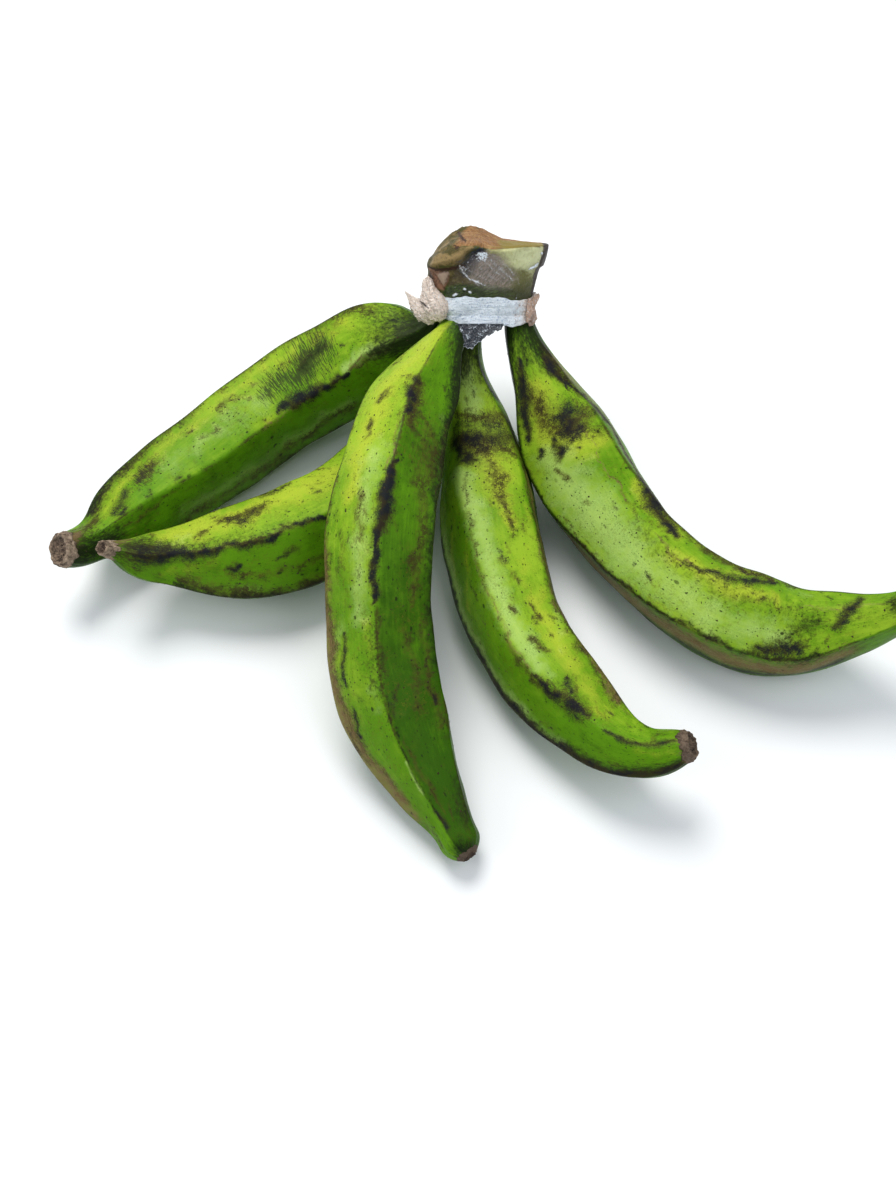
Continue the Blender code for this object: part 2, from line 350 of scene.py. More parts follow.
def zone(x, y, corners, soft):
    # 1 inside the outline that the corners give, with a soft border
    inside = np.zeros(x.shape, dtype=bool)
    nearest = np.full(x.shape, 1e9)
    for (x0, y0), (x1, y1) in zip(corners, corners[1:] + corners[:1]):
        rise = y1 - y0 if y1 != y0 else 1e-9
        inside ^= ((y0 > y) != (y1 > y)) & (x < (x1 - x0) * (y - y0) / rise + x0)
        run = (x1 - x0)**2 + (y1 - y0)**2
        share = np.clip(((x - x0) * (x1 - x0) + (y - y0) * (y1 - y0)) / run, 0.0, 1.0)
        nearest = np.minimum(nearest, np.hypot(x - x0 - share * (x1 - x0), y - y0 - share * (y1 - y0)))
    step = np.clip(np.where(inside, nearest, -nearest) / soft + 0.5, 0.0, 1.0)
    return step * step * (3.0 - 2.0 * step)


def flatStrokes(x, y, strokes):
    # the strongest of several strokes on a flat face; each is strength, then x, y, half width
    total = np.zeros(np.broadcast(x, y).shape)
    for strength, points in strokes:
        total = np.maximum(total, strength * strokeField(x, y, 180.0 / math.pi, points))
    return total


# ---- the five fruits

peelSettings = {
    "rings": 320,
    "sidesPerFacet": 27,
    "ridgeReach": 1.02,
    "flatness": 0.72,
    "ridgeRounding": 4.0,
    "ribHeight": 0.30,
    "ribWidth": 4.5,
    "ridgePaint": 3.2,
    "quietReach": 12.0,
    "stalkOvershoot": 4.0,
    "tipOvershoot": 0.4,
    "endReach": 25.0,
    "stalkWrinkles": 34.0,
    "tipWrinkles": 22.0,
    "haloRoom": 1.5,
    # waves: length along the fruit, turns round it, height (mm, degrees or tone)
    "lumps": [(62, 2, 0.35), (38, 3, 0.25), (21, 5, 0.12)],
    "wrinkles": [(90, 13, 0.14), (50, 19, 0.10), (16, 9, 0.09)],
    "bendAlong": [(23, 3, 1.3), (11, 7, 0.8), (6, 12, 0.45)],
    "bendAround": [(27, 2, 3.0), (12, 6, 1.8), (5, 11, 1.1)],
    "toneWaves": [(90, 1, 0.07), (45, 2, 0.05)],
    "layers": ("bruise", "scuff", "brown", "yellow", "pale", "tan", "dry", "darkAndShade"),
    # small wear drawn at random over each fruit: kind, how many, strength, length and half width ranges
    "wear": (
        ("bruise", 36, 0.70, (0.5, 3.5), (0.8, 1.4)),
        ("bruise", 8, 0.55, (4.0, 12.0), (1.0, 1.8)),
        ("brown", 60, 0.62, (1.0, 9.0), (1.6, 4.0)),
        ("brown", 14, 0.60, (8.0, 24.0), (3.0, 7.5)),
        ("yellow", 9, 0.50, (10.0, 30.0), (6.0, 12.0)),
        ("pale", 6, 0.35, (10.0, 40.0), (5.0, 10.0)),
    ),
    "ridgeWear": (
        ("tan", 10, 0.62, (12.0, 45.0), (0.9, 1.8)),
        ("bruise", 8, 0.62, (8.0, 30.0), (0.9, 1.7)),
        ("brown", 14, 0.75, (10.0, 40.0), (1.4, 3.0)),
    ),
}

# stations: x, y, z and ridge radius from stalk to flower end
# ridges: their angles; tones: 0 lime to 1 deep green for the facet that starts at each ridge, the peel's own
# tone with painted shade, as facets turned from the light are painted deeper
# twist: how far the ridges turn, as distances along the fruit and angles; drift: what is added to
# the tones at the stalk and at the flower end; quiet: ridges that hardly show
# marks: kind, strength, then along, angle and half width at each point of the stroke
fruits = {
    "finger_left_back": {
        "stations": [
            (-19, 100, 62, 5.5), (-22, 96, 57, 7), (-31, 94.5, 51, 13.2), (-43, 98, 43, 19),
            (-61.2, 95.6, 31.5, 22), (-91.8, 80.6, 20.8, 22), (-120.8, 54.2, 19, 20.8),
            (-143.6, 31.4, 19.5, 18.8),
            (-156.6, 15.0, 22, 15.4), (-164.6, 4.4, 26, 9.5), (-171, -1.8, 30, 8.2), (-176, -5, 34.5, 6.6),
        ],
        "ridges": (337, 56, 122, 190, 262),
        "twist": ((0, 50, 140, 185, 215), (32, 0, 0, 18, 30)),
        "quiet": (),
        "tonesAndShade": (0.20, 0.55, 0.6, 0.6, 0.50),
        "drift": (0.0, 0.24),
        "seed": 11,
        "marks": [
            ("scuff", 1.1, [(55, 24, 10), (62, 20, 17), (72, 13, 17), (78, 10, 12)]),
            ("scuff", 0.9, [(74, 16, 12), (86, 12, 12), (97, 9, 7)]),
            ("darkAndShade", 0.62, [(56, 24, 5), (64, 19, 8), (71, 15, 6)]),
            ("bruise", 1.0, [(50, 337, 1.4), (64, 338, 2.6), (74, 339, 4.0), (84, 341, 4.4),
                             (92, 343, 3), (98, 344, 1.4)]),
            ("tan", 0.6, [(20, 348, 3), (34, 342, 4), (48, 340, 3)]),
            ("pale", 0.9, [(22, 354, 5), (36, 348, 6), (50, 344, 4)]),
            ("brown", 1.0, [(158, 34, 9), (167, 22, 9)]),
            ("scuff", 0.8, [(160, 30, 6), (168, 22, 6)]),
            ("bruise", 0.75, [(177, 24, 3), (182, 18, 4.5), (187, 16, 3)]),
            ("bruise", 0.9, [(183, 4, 1.6), (186, 3, 2.2)]),
            ("bruise", 0.8, [(152, 348, 1.2), (156, 350, 1.6)]),
            ("yellow", 0.65, [(40, 42, 12), (90, 42, 14), (150, 40, 13), (190, 35, 10)]),
            ("pale", 0.5, [(100, 10, 12), (130, 10, 12), (155, 12, 9)]),
            ("pale", 0.7, [(60, 300, 5), (110, 292, 8), (160, 298, 6)]),
            ("brown", 0.8, [(108, 36, 5), (118, 30, 5)]),
            ("brown", 0.7, [(126, 12, 4), (131, 16, 4)]),
            ("brown", 0.6, [(46, 44, 8), (60, 42, 8)]),
            ("brown", 0.9, [(30, 60, 9), (110, 62, 9), (190, 60, 9)]),
            ("darkAndShade", 0.9, [(40, 72, 10), (110, 74, 10), (190, 70, 9)]),
            ("darkAndShade", 1.0, [(0, 0, 40), (12, 20, 32), (20, 350, 8)]),
            ("darkAndShade", 1.0, [(6, 350, 26), (20, 350, 14), (26, 345, 6)]),
            ("darkAndShade", 0.9, [(14, 270, 16), (40, 268, 10), (60, 262, 6)]),
            ("darkAndShade", 1.0, [(194, 330, 8), (204, 320, 15), (214, 310, 20)]),
            ("brown", 1.0, [(196, 40, 8), (206, 30, 10), (214, 20, 12)]),
            ("darkAndShade", 0.8, [(24, 256, 7), (90, 250, 6), (190, 256, 6)]),
            ("bruise", 0.7, [(50, 262, 2.5), (100, 262, 3), (140, 262, 2.4)]),
            ("brown", 0.8, [(60, 290, 8), (110, 280, 9), (160, 280, 8)]),
            ("dry", 0.7, [(206, 30, 5), (212, 10, 7), (216, 0, 12)]),
        ],
    },
    "finger_left_front": {
        "stations": [
            (-8.5, 104, 58, 5.2), (-10.5, 102, 52, 6), (-18, 89, 35, 6.5), (-28, 73, 25, 11.5),
            (-42, 47, 21, 18.5), (-59, 22, 21.5, 22), (-76, 10, 21.5, 23), (-97, 2, 21.5, 21.5),
            (-118, -2, 23, 17), (-135, -5, 28, 11.6), (-146, -9, 36.5, 7.6), (-151.5, -10, 42, 4),
            (-155, -12, 47, 2.7),
        ],
        "ridges": (324, 38, 110, 182, 254),
        "twist": ((0, 150, 185, 224), (0, 0, -4, -14)),
        "quiet": (),
        "tonesAndShade": (0.12, 0.3, 0.6, 0.6, 0.48),
        "drift": (0.0, 0.14),
        "seed": 23,
        "marks": [
            ("yellow", 1.0, [(110, 14, 18), (150, 12, 17), (192, 8, 14)]),
            ("brown", 1.0, [(146, 10, 6), (157, 6, 8), (168, 12, 6)]),
            ("bruise", 0.55, [(150, 4, 4), (157, 356, 6), (164, 8, 4)]),
            ("brown", 0.8, [(174, 0, 4), (180, 352, 4)]),
            ("brown", 0.7, [(132, 36, 6), (140, 34, 6), (150, 36, 4)]),
            ("bruise", 0.95, [(110, 323, 1.2), (135, 324, 1.6), (158, 322, 2.4), (178, 320, 3.4),
                              (196, 316, 4.6), (207, 312, 6)]),
            ("bruise", 0.7, [(188, 320, 4), (200, 322, 7), (208, 324, 9)]),
            ("bruise", 0.8, [(128, 32, 1.2), (144, 36, 1.8), (156, 40, 1.2)]),
            ("bruise", 0.6, [(147, 12, 2), (150, 12, 3)]),
            ("darkAndShade", 0.5, [(140, 330, 4), (170, 332, 5), (200, 334, 7)]),
            ("darkAndShade", 0.9, [(196, 332, 8), (206, 340, 12), (212, 335, 14)]),
            ("brown", 1.0, [(120, 262, 8), (150, 250, 10), (186, 262, 9)]),
            ("brown", 0.7, [(130, 280, 5), (165, 284, 6)]),
            ("bruise", 0.9, [(162, 296, 1.8), (165, 292, 1.8)]),
            ("bruise", 0.8, [(140, 300, 1.8), (146, 296, 1.4)]),
            ("tan", 0.9, [(126, 48, 2.5), (150, 46, 3), (180, 44, 3)]),
            ("bruise", 0.7, [(140, 50, 1.4), (160, 50, 2), (172, 46, 1.4)]),
            ("darkAndShade", 0.8, [(60, 254, 6), (120, 250, 7), (190, 250, 6)]),
            ("dry", 0.8, [(214, 40, 6), (224, 40, 12)]),
        ],
    },
    "finger_middle": {
        "stations": [
            (-10, 93, 68.5, 5.5), (-12, 88, 65, 6.5), (-18, 72, 69, 9.5), (-23, 60, 66, 15),
            (-32, 41, 63, 19), (-38, 14, 61, 20.5), (-42, -14, 56, 21.6), (-42, -38, 42, 21.3),
            (-38.8, -62, 27.4, 21.8), (-31.6, -82, 18.4, 19.8), (-23.4, -98.4, 14.6, 14.8),
            (-16.8, -110, 12, 11),
            (-11.4, -120.5, 10.8, 8.4), (-8.4, -126.4, 10, 6.6), (-6.8, -128.8, 9.8, 3.4),
        ],
        "ridges": (356, 72, 142, 212, 286),
        "twist": ((0, 40, 68, 130, 200, 240, 250), (2, 2, -6, 0, 8, 18, 18)),
        "quiet": (),
        "tonesAndShade": (0.12, 0.45, 0.6, 0.6, 0.68),
        "drift": (-0.14, 0.42),
        "seed": 37,
        "marks": [
            ("yellow", 1.0, [(20, 24, 12), (44, 30, 15), (80, 36, 15), (104, 40, 8)]),
            ("pale", 0.7, [(86, 18, 9), (120, 16, 9), (146, 20, 7)]),
            ("bruise", 0.9, [(51, 354, 2.6), (56, 353, 4.0), (62, 350, 3), (68, 346, 1.6)]),
            ("brown", 1.0, [(50, 352, 6), (60, 346, 7), (74, 340, 7)]),
            ("bruise", 1.2, [(90, 349, 0.8), (96, 351, 2.2), (103, 352, 3.6), (109, 354, 4.2),
                             (115, 355, 3), (121, 358, 1)]),
            ("bruise", 1.1, [(121, 357, 0.9), (126, 358, 2.6), (131, 359, 2.4), (139, 0, 0.9)]),
            ("bruise", 0.7, [(146, 357, 1.0), (158, 356, 1.7), (170, 356, 1.4)]),
            ("darkAndShade", 0.8, [(176, 358, 0.9), (200, 4, 1.0), (217, 10, 0.9), (236, 14, 0.9)]),
            ("darkAndShade", 0.45, [(150, 4, 5), (166, 4, 7), (176, 6, 5)]),
            ("pale", 1.0, [(206, 9, 0.8), (212, 11, 1.2), (220, 13, 0.8)]),
            ("brown", 0.7, [(68, 314, 9), (84, 320, 9), (96, 314, 9)]),
            ("brown", 0.8, [(100, 306, 9), (118, 300, 9), (132, 310, 7)]),
            ("brown", 0.7, [(150, 326, 6), (172, 318, 7), (190, 330, 6)]),
            ("brown", 0.8, [(58, 28, 5), (64, 34, 5)]),
            ("brown", 0.9, [(72, 38, 5), (78, 36, 4)]),
            ("brown", 0.8, [(106, 24, 5), (117, 16, 4)]),
            ("bruise", 0.6, [(103, 30, 1.0), (104, 30, 1.0)]),
            ("bruise", 0.6, [(107, 20, 1.0), (109, 20, 1.2)]),
            ("bruise", 0.7, [(111, 24, 1.3), (112, 24, 1.3)]),
            ("bruise", 0.7, [(116, 14, 1.3), (117, 14, 1.3)]),
            ("bruise", 0.85, [(150, 45, 1.2), (160, 46, 2.4), (169, 47, 1.3)]),
            ("bruise", 0.85, [(179, 51, 1.2), (184, 53, 2.2), (189, 55, 1.3)]),
            ("bruise", 0.9, [(164, 304, 1.0), (168, 305, 1.4)]),
            ("bruise", 0.9, [(180, 306, 1.0), (187, 306, 1.2)]),
            ("tan", 1.0, [(60, 82, 4), (96, 82, 6), (140, 80, 10), (180, 76, 12), (210, 74, 9),
                          (225, 70, 6)]),
            ("brown", 1.0, [(60, 76, 5), (100, 74, 6), (140, 70, 8), (180, 66, 9), (215, 62, 6)]),
            ("brown", 0.8, [(66, 328, 5), (72, 300, 8), (92, 300, 9)]),
            ("brown", 0.75, [(69, 320, 6), (81, 312, 8), (99, 304, 8), (116, 298, 7)]),
            ("brown", 0.8, [(120, 310, 5), (130, 310, 6), (140, 318, 4)]),
            ("brown", 0.7, [(150, 300, 6), (172, 304, 6), (200, 304, 7)]),
            ("bruise", 0.8, [(228, 13, 1.0), (238, 9, 1.8)]),
            ("darkAndShade", 1.0, [(0, 290, 26), (12, 300, 18), (30, 294, 10), (60, 284, 7)]),
            ("darkAndShade", 0.8, [(60, 284, 8), (110, 284, 8), (170, 286, 7)]),
            ("darkAndShade", 0.6, [(222, 296, 9), (236, 310, 12)]),
            ("darkAndShade", 1.0, [(247, 0, 8), (253, 0, 12)]),
        ],
    },
    "finger_right_front": {
        "stations": [
            (-3, 100, 62, 5), (-5, 96, 57, 5.4), (-7, 83, 47, 7.6), (-2, 62, 34, 14),
            (1.8, 31, 25, 20.8), (6.7, -6.5, 21.9, 21.7), (19.3, -45.0, 20.2, 19.8),
            (32.5, -65.2, 19.6, 18.6),
            (43.2, -78.9, 21.4, 15.5), (54.2, -89.9, 25, 12.1), (65, -94.2, 28.5, 9.6),
            (73.6, -93.6, 32, 7.4),
            (78.2, -93.4, 34.6, 5.2),
        ],
        "ridges": (6, 82, 150, 222, 290),
        "twist": ((0, 90, 122, 165, 200, 244), (10, 5, 0, 2, -8, -8)),
        "quiet": (290, 6),
        "tonesAndShade": (0.36, 0.6, 0.65, 0.5, 0.18),
        "drift": (-0.18, 0.22),
        "seed": 41,
        "marks": [
            ("brown", 1.0, [(45, 20, 6), (49, 345, 8), (52, 310, 9), (54, 280, 9)]),
            ("bruise", 0.6, [(52, 24, 5), (54, 350, 6), (56, 320, 7), (56, 285, 8)]),
            ("bruise", 0.9, [(60, 30, 6), (62, 6, 7), (63, 345, 7.5), (63, 315, 8), (60, 285, 8)]),
            ("bruise", 1.0, [(65, 16, 4), (69, 8, 5.5), (73, 0, 5), (74, 352, 3)]),
            ("brown", 1.0, [(58, 36, 10), (68, 340, 13), (70, 300, 12)]),
            ("yellow", 1.0, [(68, 340, 16), (84, 326, 14), (98, 322, 10), (110, 322, 5)]),
            ("brown", 0.9, [(76, 336, 11), (86, 325, 11), (97, 322, 7)]),
            ("brown", 1.0, [(92, 322, 6), (101, 322, 4), (112, 322, 1.6)]),
            ("bruise", 0.55, [(96, 322, 2.5), (105, 322, 1.6)]),
            ("pale", 1.0, [(78, 14, 7), (86, 8, 8), (98, 4, 6)]),
            ("pale", 1.0, [(26, 350, 9), (36, 345, 12), (44, 345, 9)]),
            ("pale", 0.9, [(96, 358, 8), (122, 354, 9), (150, 356, 9), (175, 354, 7)]),
            ("pale", 0.8, [(100, 66, 7), (130, 66, 7), (165, 68, 7), (200, 68, 6)]),
            ("bruise", 0.85, [(175, 9, 1.0), (183, 6, 2.6), (191, 0, 4.6), (198, 356, 5.6),
                              (203, 354, 2.0)]),
            ("bruise", 0.7, [(184, 342, 2.2), (190, 346, 3.0)]),
            ("brown", 0.8, [(176, 14, 5), (190, 356, 9), (202, 352, 8)]),
            ("brown", 0.9, [(157, 8, 3), (168, 12, 4), (176, 10, 4)]),
            ("brown", 0.8, [(124, 342, 3), (128, 340, 4)]),
            ("brown", 0.8, [(133, 332, 4), (137, 330, 3)]),
            ("brown", 0.9, [(146, 347, 3), (150, 346, 3)]),
            ("brown", 1.0, [(149, 321, 3), (154, 320, 4)]),
            ("brown", 0.9, [(160, 346, 3), (166, 340, 4), (170, 330, 3)]),
            ("yellow", 0.9, [(145, 312, 9), (180, 320, 11), (205, 332, 9)]),
            ("bruise", 0.9, [(212, 357, 0.9), (220, 354, 1.6), (230, 351, 2.0), (242, 348, 1.4)]),
            ("tan", 0.8, [(80, 276, 4), (110, 274, 6), (160, 278, 7), (204, 284, 6)]),
            ("brown", 1.0, [(60, 282, 6), (100, 280, 7), (160, 284, 8), (205, 290, 7)]),
            ("darkAndShade", 0.9, [(70, 264, 6), (120, 262, 8), (170, 268, 8), (204, 274, 7)]),
            ("darkAndShade", 1.0, [(100, 80, 4), (130, 78, 5), (170, 76, 6), (200, 72, 7), (225, 67, 7),
                           (244, 72, 6)]),
            ("bruise", 0.8, [(150, 76, 1.4), (185, 75, 2.4), (206, 70, 2.8), (226, 66, 2.4),
                             (238, 68, 1.4)]),
            ("darkAndShade", 1.0, [(0, 0, 30), (16, 0, 26), (27, 10, 12)]),
            ("darkAndShade", 1.0, [(10, 60, 14), (30, 70, 8)]),
            ("darkAndShade", 1.0, [(20, 300, 6), (40, 280, 5)]),
            ("dry", 0.6, [(241, 60, 4), (246, 0, 8)]),
        ],
    },
    "finger_right": {
        "stations": [
            (15, 96, 66, 5.5), (16, 91, 62, 6.7), (24.6, 73, 49, 13.6), (34, 57.5, 36, 22),
            (50.6, 28.3, 23.6, 24), (72.6, -5, 21.2, 21.4), (98.4, -27.2, 21, 21.4),
            (125, -36.6, 21.8, 20.4),
            (146, -38.6, 31, 14.4), (158, -39.4, 38.5, 10.4), (166, -40, 46, 8.2), (175, -38, 55, 7),
        ],
        "ridges": (318, 350, 58, 140, 230),
        "twist": ((0, 60, 95, 125, 160, 200, 253), (0, 12, 6, 0, -8, -4, -4)),
        "quiet": (350,),
        "tonesAndShade": (0.24, 0.12, 0.62, 0.7, 0.55),
        "drift": (0.08, 0.08),
        "seed": 53,
        "marks": [
            ("bruise", 1.0, [(20, 36, 1.6), (27, 44, 3.6), (34, 50, 5), (42, 53, 4), (51, 55, 2.5)]),
            ("bruise", 1.0, [(48, 0, 7), (53, 354, 8.5), (58, 2, 7)]),
            ("bruise", 0.5, [(42, 24, 6), (47, 16, 8), (52, 356, 13), (54, 340, 8)]),
            ("brown", 1.0, [(36, 34, 8), (48, 24, 13), (56, 0, 16), (52, 336, 9)]),
            ("bruise", 1.0, [(59, 23, 2.6), (63, 24, 4.2), (67, 27, 2.8)]),
            ("bruise", 0.9, [(59, 45, 2.2), (62, 45, 2.4)]),
            ("yellow", 1.0, [(34, 20, 14), (48, 34, 14), (64, 10, 18), (70, 344, 14)]),
            ("brown", 0.7, [(60, 350, 11), (68, 330, 10)]),
            ("brown", 1.0, [(71, 38, 2.6), (76, 32, 3.6), (80, 28, 3)]),
            ("pale", 1.0, [(68, 34, 14), (84, 30, 20), (106, 26, 22), (128, 26, 17)]),
            ("pale", 0.75, [(130, 26, 15), (160, 26, 14), (190, 24, 11)]),
            ("bruise", 0.9, [(24, 334, 2.4), (31, 337, 3), (36, 337, 1.4)]),
            ("tan", 0.9, [(18, 318, 5), (40, 300, 6), (70, 292, 5)]),
            ("brown", 1.0, [(20, 330, 6), (45, 318, 8), (80, 308, 9), (130, 314, 7), (180, 316, 5)]),
            ("bruise", 0.85, [(24, 342, 1.0), (41, 326, 1.6), (58, 314, 2.4), (72, 308, 3), (86, 308, 2.4)]),
            ("bruise", 1.0, [(93, 314, 2.4), (101, 319, 4.8), (111, 325, 5), (122, 329, 4.6),
                             (131, 332, 2.2)]),
            ("bruise", 0.8, [(142, 356, 0.8), (149, 350, 1.6), (158, 340, 3), (170, 328, 4),
                             (184, 320, 1.6)]),
            ("bruise", 0.9, [(213, 20, 2.4), (217, 8, 4), (221, 350, 4), (225, 330, 2.6)]),
            ("bruise", 0.95, [(179, 44, 2), (183, 43, 4.4), (192, 41, 5), (198, 39, 3)]),
            ("darkAndShade", 0.62, [(190, 30, 9), (199, 18, 11), (206, 8, 8)]),
            ("darkAndShade", 0.4, [(120, 0, 8), (150, 356, 10), (200, 350, 10)]),
            ("yellow", 0.9, [(138, 352, 9), (165, 348, 9), (184, 342, 7)]),
            ("yellow", 0.8, [(100, 330, 8), (130, 330, 8)]),
            ("darkAndShade", 0.75, [(45, 68, 2.2), (57, 72, 2.8), (80, 69, 2.4), (100, 64, 2.4), (123, 60, 2.4),
                            (139, 55, 2.0),
                           (160, 48, 2.2), (176, 51, 2.2), (205, 53, 4)]),
            ("bruise", 0.75, [(100, 64, 0.7), (112, 61, 1.4), (126, 58, 1.2), (138, 55, 0.7)]),
            ("bruise", 0.45, [(150, 52, 0.7), (166, 50, 0.9), (196, 53, 2.0)]),
            ("brown", 0.9, [(50, 90, 12), (110, 84, 17), (160, 80, 18), (215, 84, 14)]),
            ("tan", 0.9, [(60, 96, 9), (110, 86, 15), (160, 78, 16), (210, 82, 12)]),
            ("darkAndShade", 0.9, [(50, 108, 9), (110, 112, 9), (160, 112, 9), (210, 108, 8)]),
            ("darkAndShade", 1.0, [(0, 0, 26), (9, 330, 14), (24, 322, 6)]),
            ("darkAndShade", 1.0, [(4, 60, 12), (30, 74, 6)]),
            ("darkAndShade", 0.9, [(6, 350, 20), (20, 340, 10), (34, 332, 6)]),
            ("darkAndShade", 0.7, [(10, 20, 12), (20, 20, 9)]),
            ("darkAndShade", 0.9, [(240, 0, 8), (253, 0, 16)]),
            ("dry", 0.8, [(247, 0, 8), (253, 0, 18)]),
        ],
    },
}

peelColours = {
    "lime": (0.270, 0.430, 0.022),
    "leaf": (0.100, 0.255, 0.005),
    "deep": (0.030, 0.095, 0.002),
    "yellow": (0.44, 0.52, 0.038),
    "pale": (0.46, 0.64, 0.17),
    "olive": (0.125, 0.130, 0.012),
    "brown": (0.046, 0.036, 0.010),
    "rust": (0.100, 0.082, 0.013),
    "bruise": (0.008, 0.008, 0.014),
    "bruiseBrown": (0.022, 0.016, 0.009),
    "scuff": (0.024, 0.026, 0.014),
    "tan": (0.22, 0.145, 0.060),
    # nearly black green for the dark ends and for painted shade
    "darkAndShade": (0.009, 0.012, 0.005),
    "dry": (0.085, 0.055, 0.032),
    "speck": (0.014, 0.020, 0.005),
}


def makePeelMaterial():
    # the peel reads its own coordinates in centimetres: along the fruit, and round it
    n = Nodes("green_peel")
    c = peelColours
    peel = n.attribute("peelPlace", vector=True)
    toneAndShade = n.attribute("toneAndShade")
    fibres = n.noise(n.mapping(peel, scale=(0.10, 1.0, 1.0)), 8.0, detail=4.0, roughness=0.6)
    fineFibres = n.noise(n.mapping(peel, scale=(0.16, 1.0, 1.0)), 36.0, detail=2.0)
    clouds = n.noise(peel, 0.55, detail=4.0, roughness=0.6)
    patches = n.noise(peel, 1.7, detail=5.0, roughness=0.62)
    grain = n.noise(peel, 16.0, detail=5.0, roughness=0.75)
    crumbs = n.noise(peel, 5.0, detail=6.0, roughness=0.74, distortion=0.5)
    ragged = n.math("ADD", n.math("MULTIPLY", crumbs, 0.55), n.math("MULTIPLY", grain, 0.45))

    # tone, which carries the facets' painted shade, runs from lime to deep green and is broken up by fibres,
    # clouds and blotches
    shift = n.math("MULTIPLY_ADD", n.stretch(clouds), 0.20, -0.10)
    shift = n.math("ADD", shift, n.math("MULTIPLY_ADD", n.stretch(patches), 0.18, -0.09))
    streaks = n.math("MULTIPLY_ADD", n.stretch(fibres), 0.14, -0.07)
    green = n.math("ADD", n.math("ADD", toneAndShade, shift), streaks, clamp=True)
    colour = n.mix(n.ramp(green, 0.0, 0.5), c["lime"], c["leaf"])
    colour = n.mix(n.ramp(green, 0.5, 1.0), colour, c["deep"])

    yellowMask = n.broken(n.attribute("yellow"), patches, 0.7, 0.20, 1.00)
    yellowKept = n.math("MULTIPLY", yellowMask, n.ramp(toneAndShade, 0.85, 0.25, 0.06, 0.75))
    colour = n.mix(yellowKept, colour, c["yellow"])
    # pale is partly the peel's own paler patches and partly painted highlight: thin bright lines along
    # ridges and soft sheen, kept to the lighter facets
    paleMask = n.broken(n.attribute("pale"), patches, 0.6, 0.10, 1.00)
    colour = n.mix(n.math("MULTIPLY", paleMask, n.ramp(toneAndShade, 0.85, 0.35, 0.10, 0.66)), colour, c["pale"])

    # a thin veil of dirt and olive mottling everywhere, stronger where the brown layer is painted
    veil = n.math("MULTIPLY", n.ramp(grain, 0.44, 0.62), n.ramp(patches, 0.36, 0.66))
    colour = n.mix(veil, colour, c["deep"], most=0.38)
    mottle = n.math("MULTIPLY", n.ramp(ragged, 0.49, 0.62), n.ramp(clouds, 0.42, 0.64))
    colour = n.mix(mottle, colour, c["olive"], most=0.60)
    brown = n.attribute("brown")
    speckled = n.math("ADD", n.math("MULTIPLY", patches, 0.40), n.math("MULTIPLY", grain, 0.60))
    brownSoft = n.broken(brown, ragged, 1.0, 0.25, 1.1)
    colour = n.mix(brownSoft, colour, c["rust"], most=0.62)
    distance, _ = n.cells(n.mapping(peel, scale=(0.8, 1.0, 1.0)), 5.5)
    net = n.ramp(n.math("MULTIPLY_ADD", grain, 0.30, distance), 0.52, 0.70)
    netted = n.math("MULTIPLY", net, n.broken(brown, patches, 0.8, 0.30, 0.90))
    colour = n.mix(netted, colour, c["brown"], most=0.60)
    brownHard = n.broken(brown, speckled, 2.0, 0.70, 1.15)
    colour = n.mix(brownHard, colour, c["brown"], most=0.75)

    # dark specks of three sizes, each in some of the cells only
    specks = 0.0
    for scale, chosenFrom, smallest, spread, where in (
        (2.6, 0.74, 0.03, 0.15, clouds), (4.6, 0.60, 0.03, 0.17, patches), (11.0, 0.56, 0.06, 0.22, patches),
    ):
        distance, cellColour = n.cells(n.mapping(peel, scale=(0.62, 1.0, 1.0)), scale)
        parts = n.split(cellColour)
        size = n.math("MULTIPLY_ADD", parts[1], spread, smallest)
        bent = n.math("MULTIPLY_ADD", grain, 0.18, n.math("SUBTRACT", distance, size))
        dot = n.math("MULTIPLY", n.ramp(bent, 0.14, 0.06), n.ramp(parts[0], chosenFrom, chosenFrom + 0.02))
        specks = n.math("MAXIMUM", specks, n.math("MULTIPLY", dot, n.ramp(where, 0.40, 0.52, 0.25, 1.0)))
    colour = n.mix(specks, colour, c["speck"], most=0.82)

    # the ridges are dry and brown here and there
    ridge = n.attribute("ridge")
    ridgeLine = n.math("MULTIPLY", n.broken(ridge, ragged, 1.0, 0.40, 1.0), n.ramp(clouds, 0.38, 0.54))
    colour = n.mix(ridgeLine, colour, c["brown"], most=0.80)

    # dry corky streaks, abrasion in short cross strokes, bruises, and dark strokes: the dark ends, and
    # painted shade at the stalks and along the fruits' lower edges
    tanMask = n.broken(n.attribute("tan"), fineFibres, 0.8, 0.25, 0.85)
    colour = n.mix(tanMask, colour, c["tan"], most=0.72)
    strokes = n.noise(n.mapping(peel, scale=(1.0, 0.09, 0.09)), 26.0, detail=2.0, roughness=0.6)
    scuffMask = n.broken(n.attribute("scuff"), strokes, 1.4, 0.30, 0.85)
    colour = n.mix(scuffMask, colour, c["scuff"], most=0.82)
    # nearly black green on the dark ends, and painted shade at the stalks under the crown and along the
    # lower edges
    darkAndShadeMask = n.broken(n.attribute("darkAndShade"), crumbs, 0.7, 0.12, 0.95)
    colour = n.mix(darkAndShadeMask, colour, c["darkAndShade"], most=0.94)
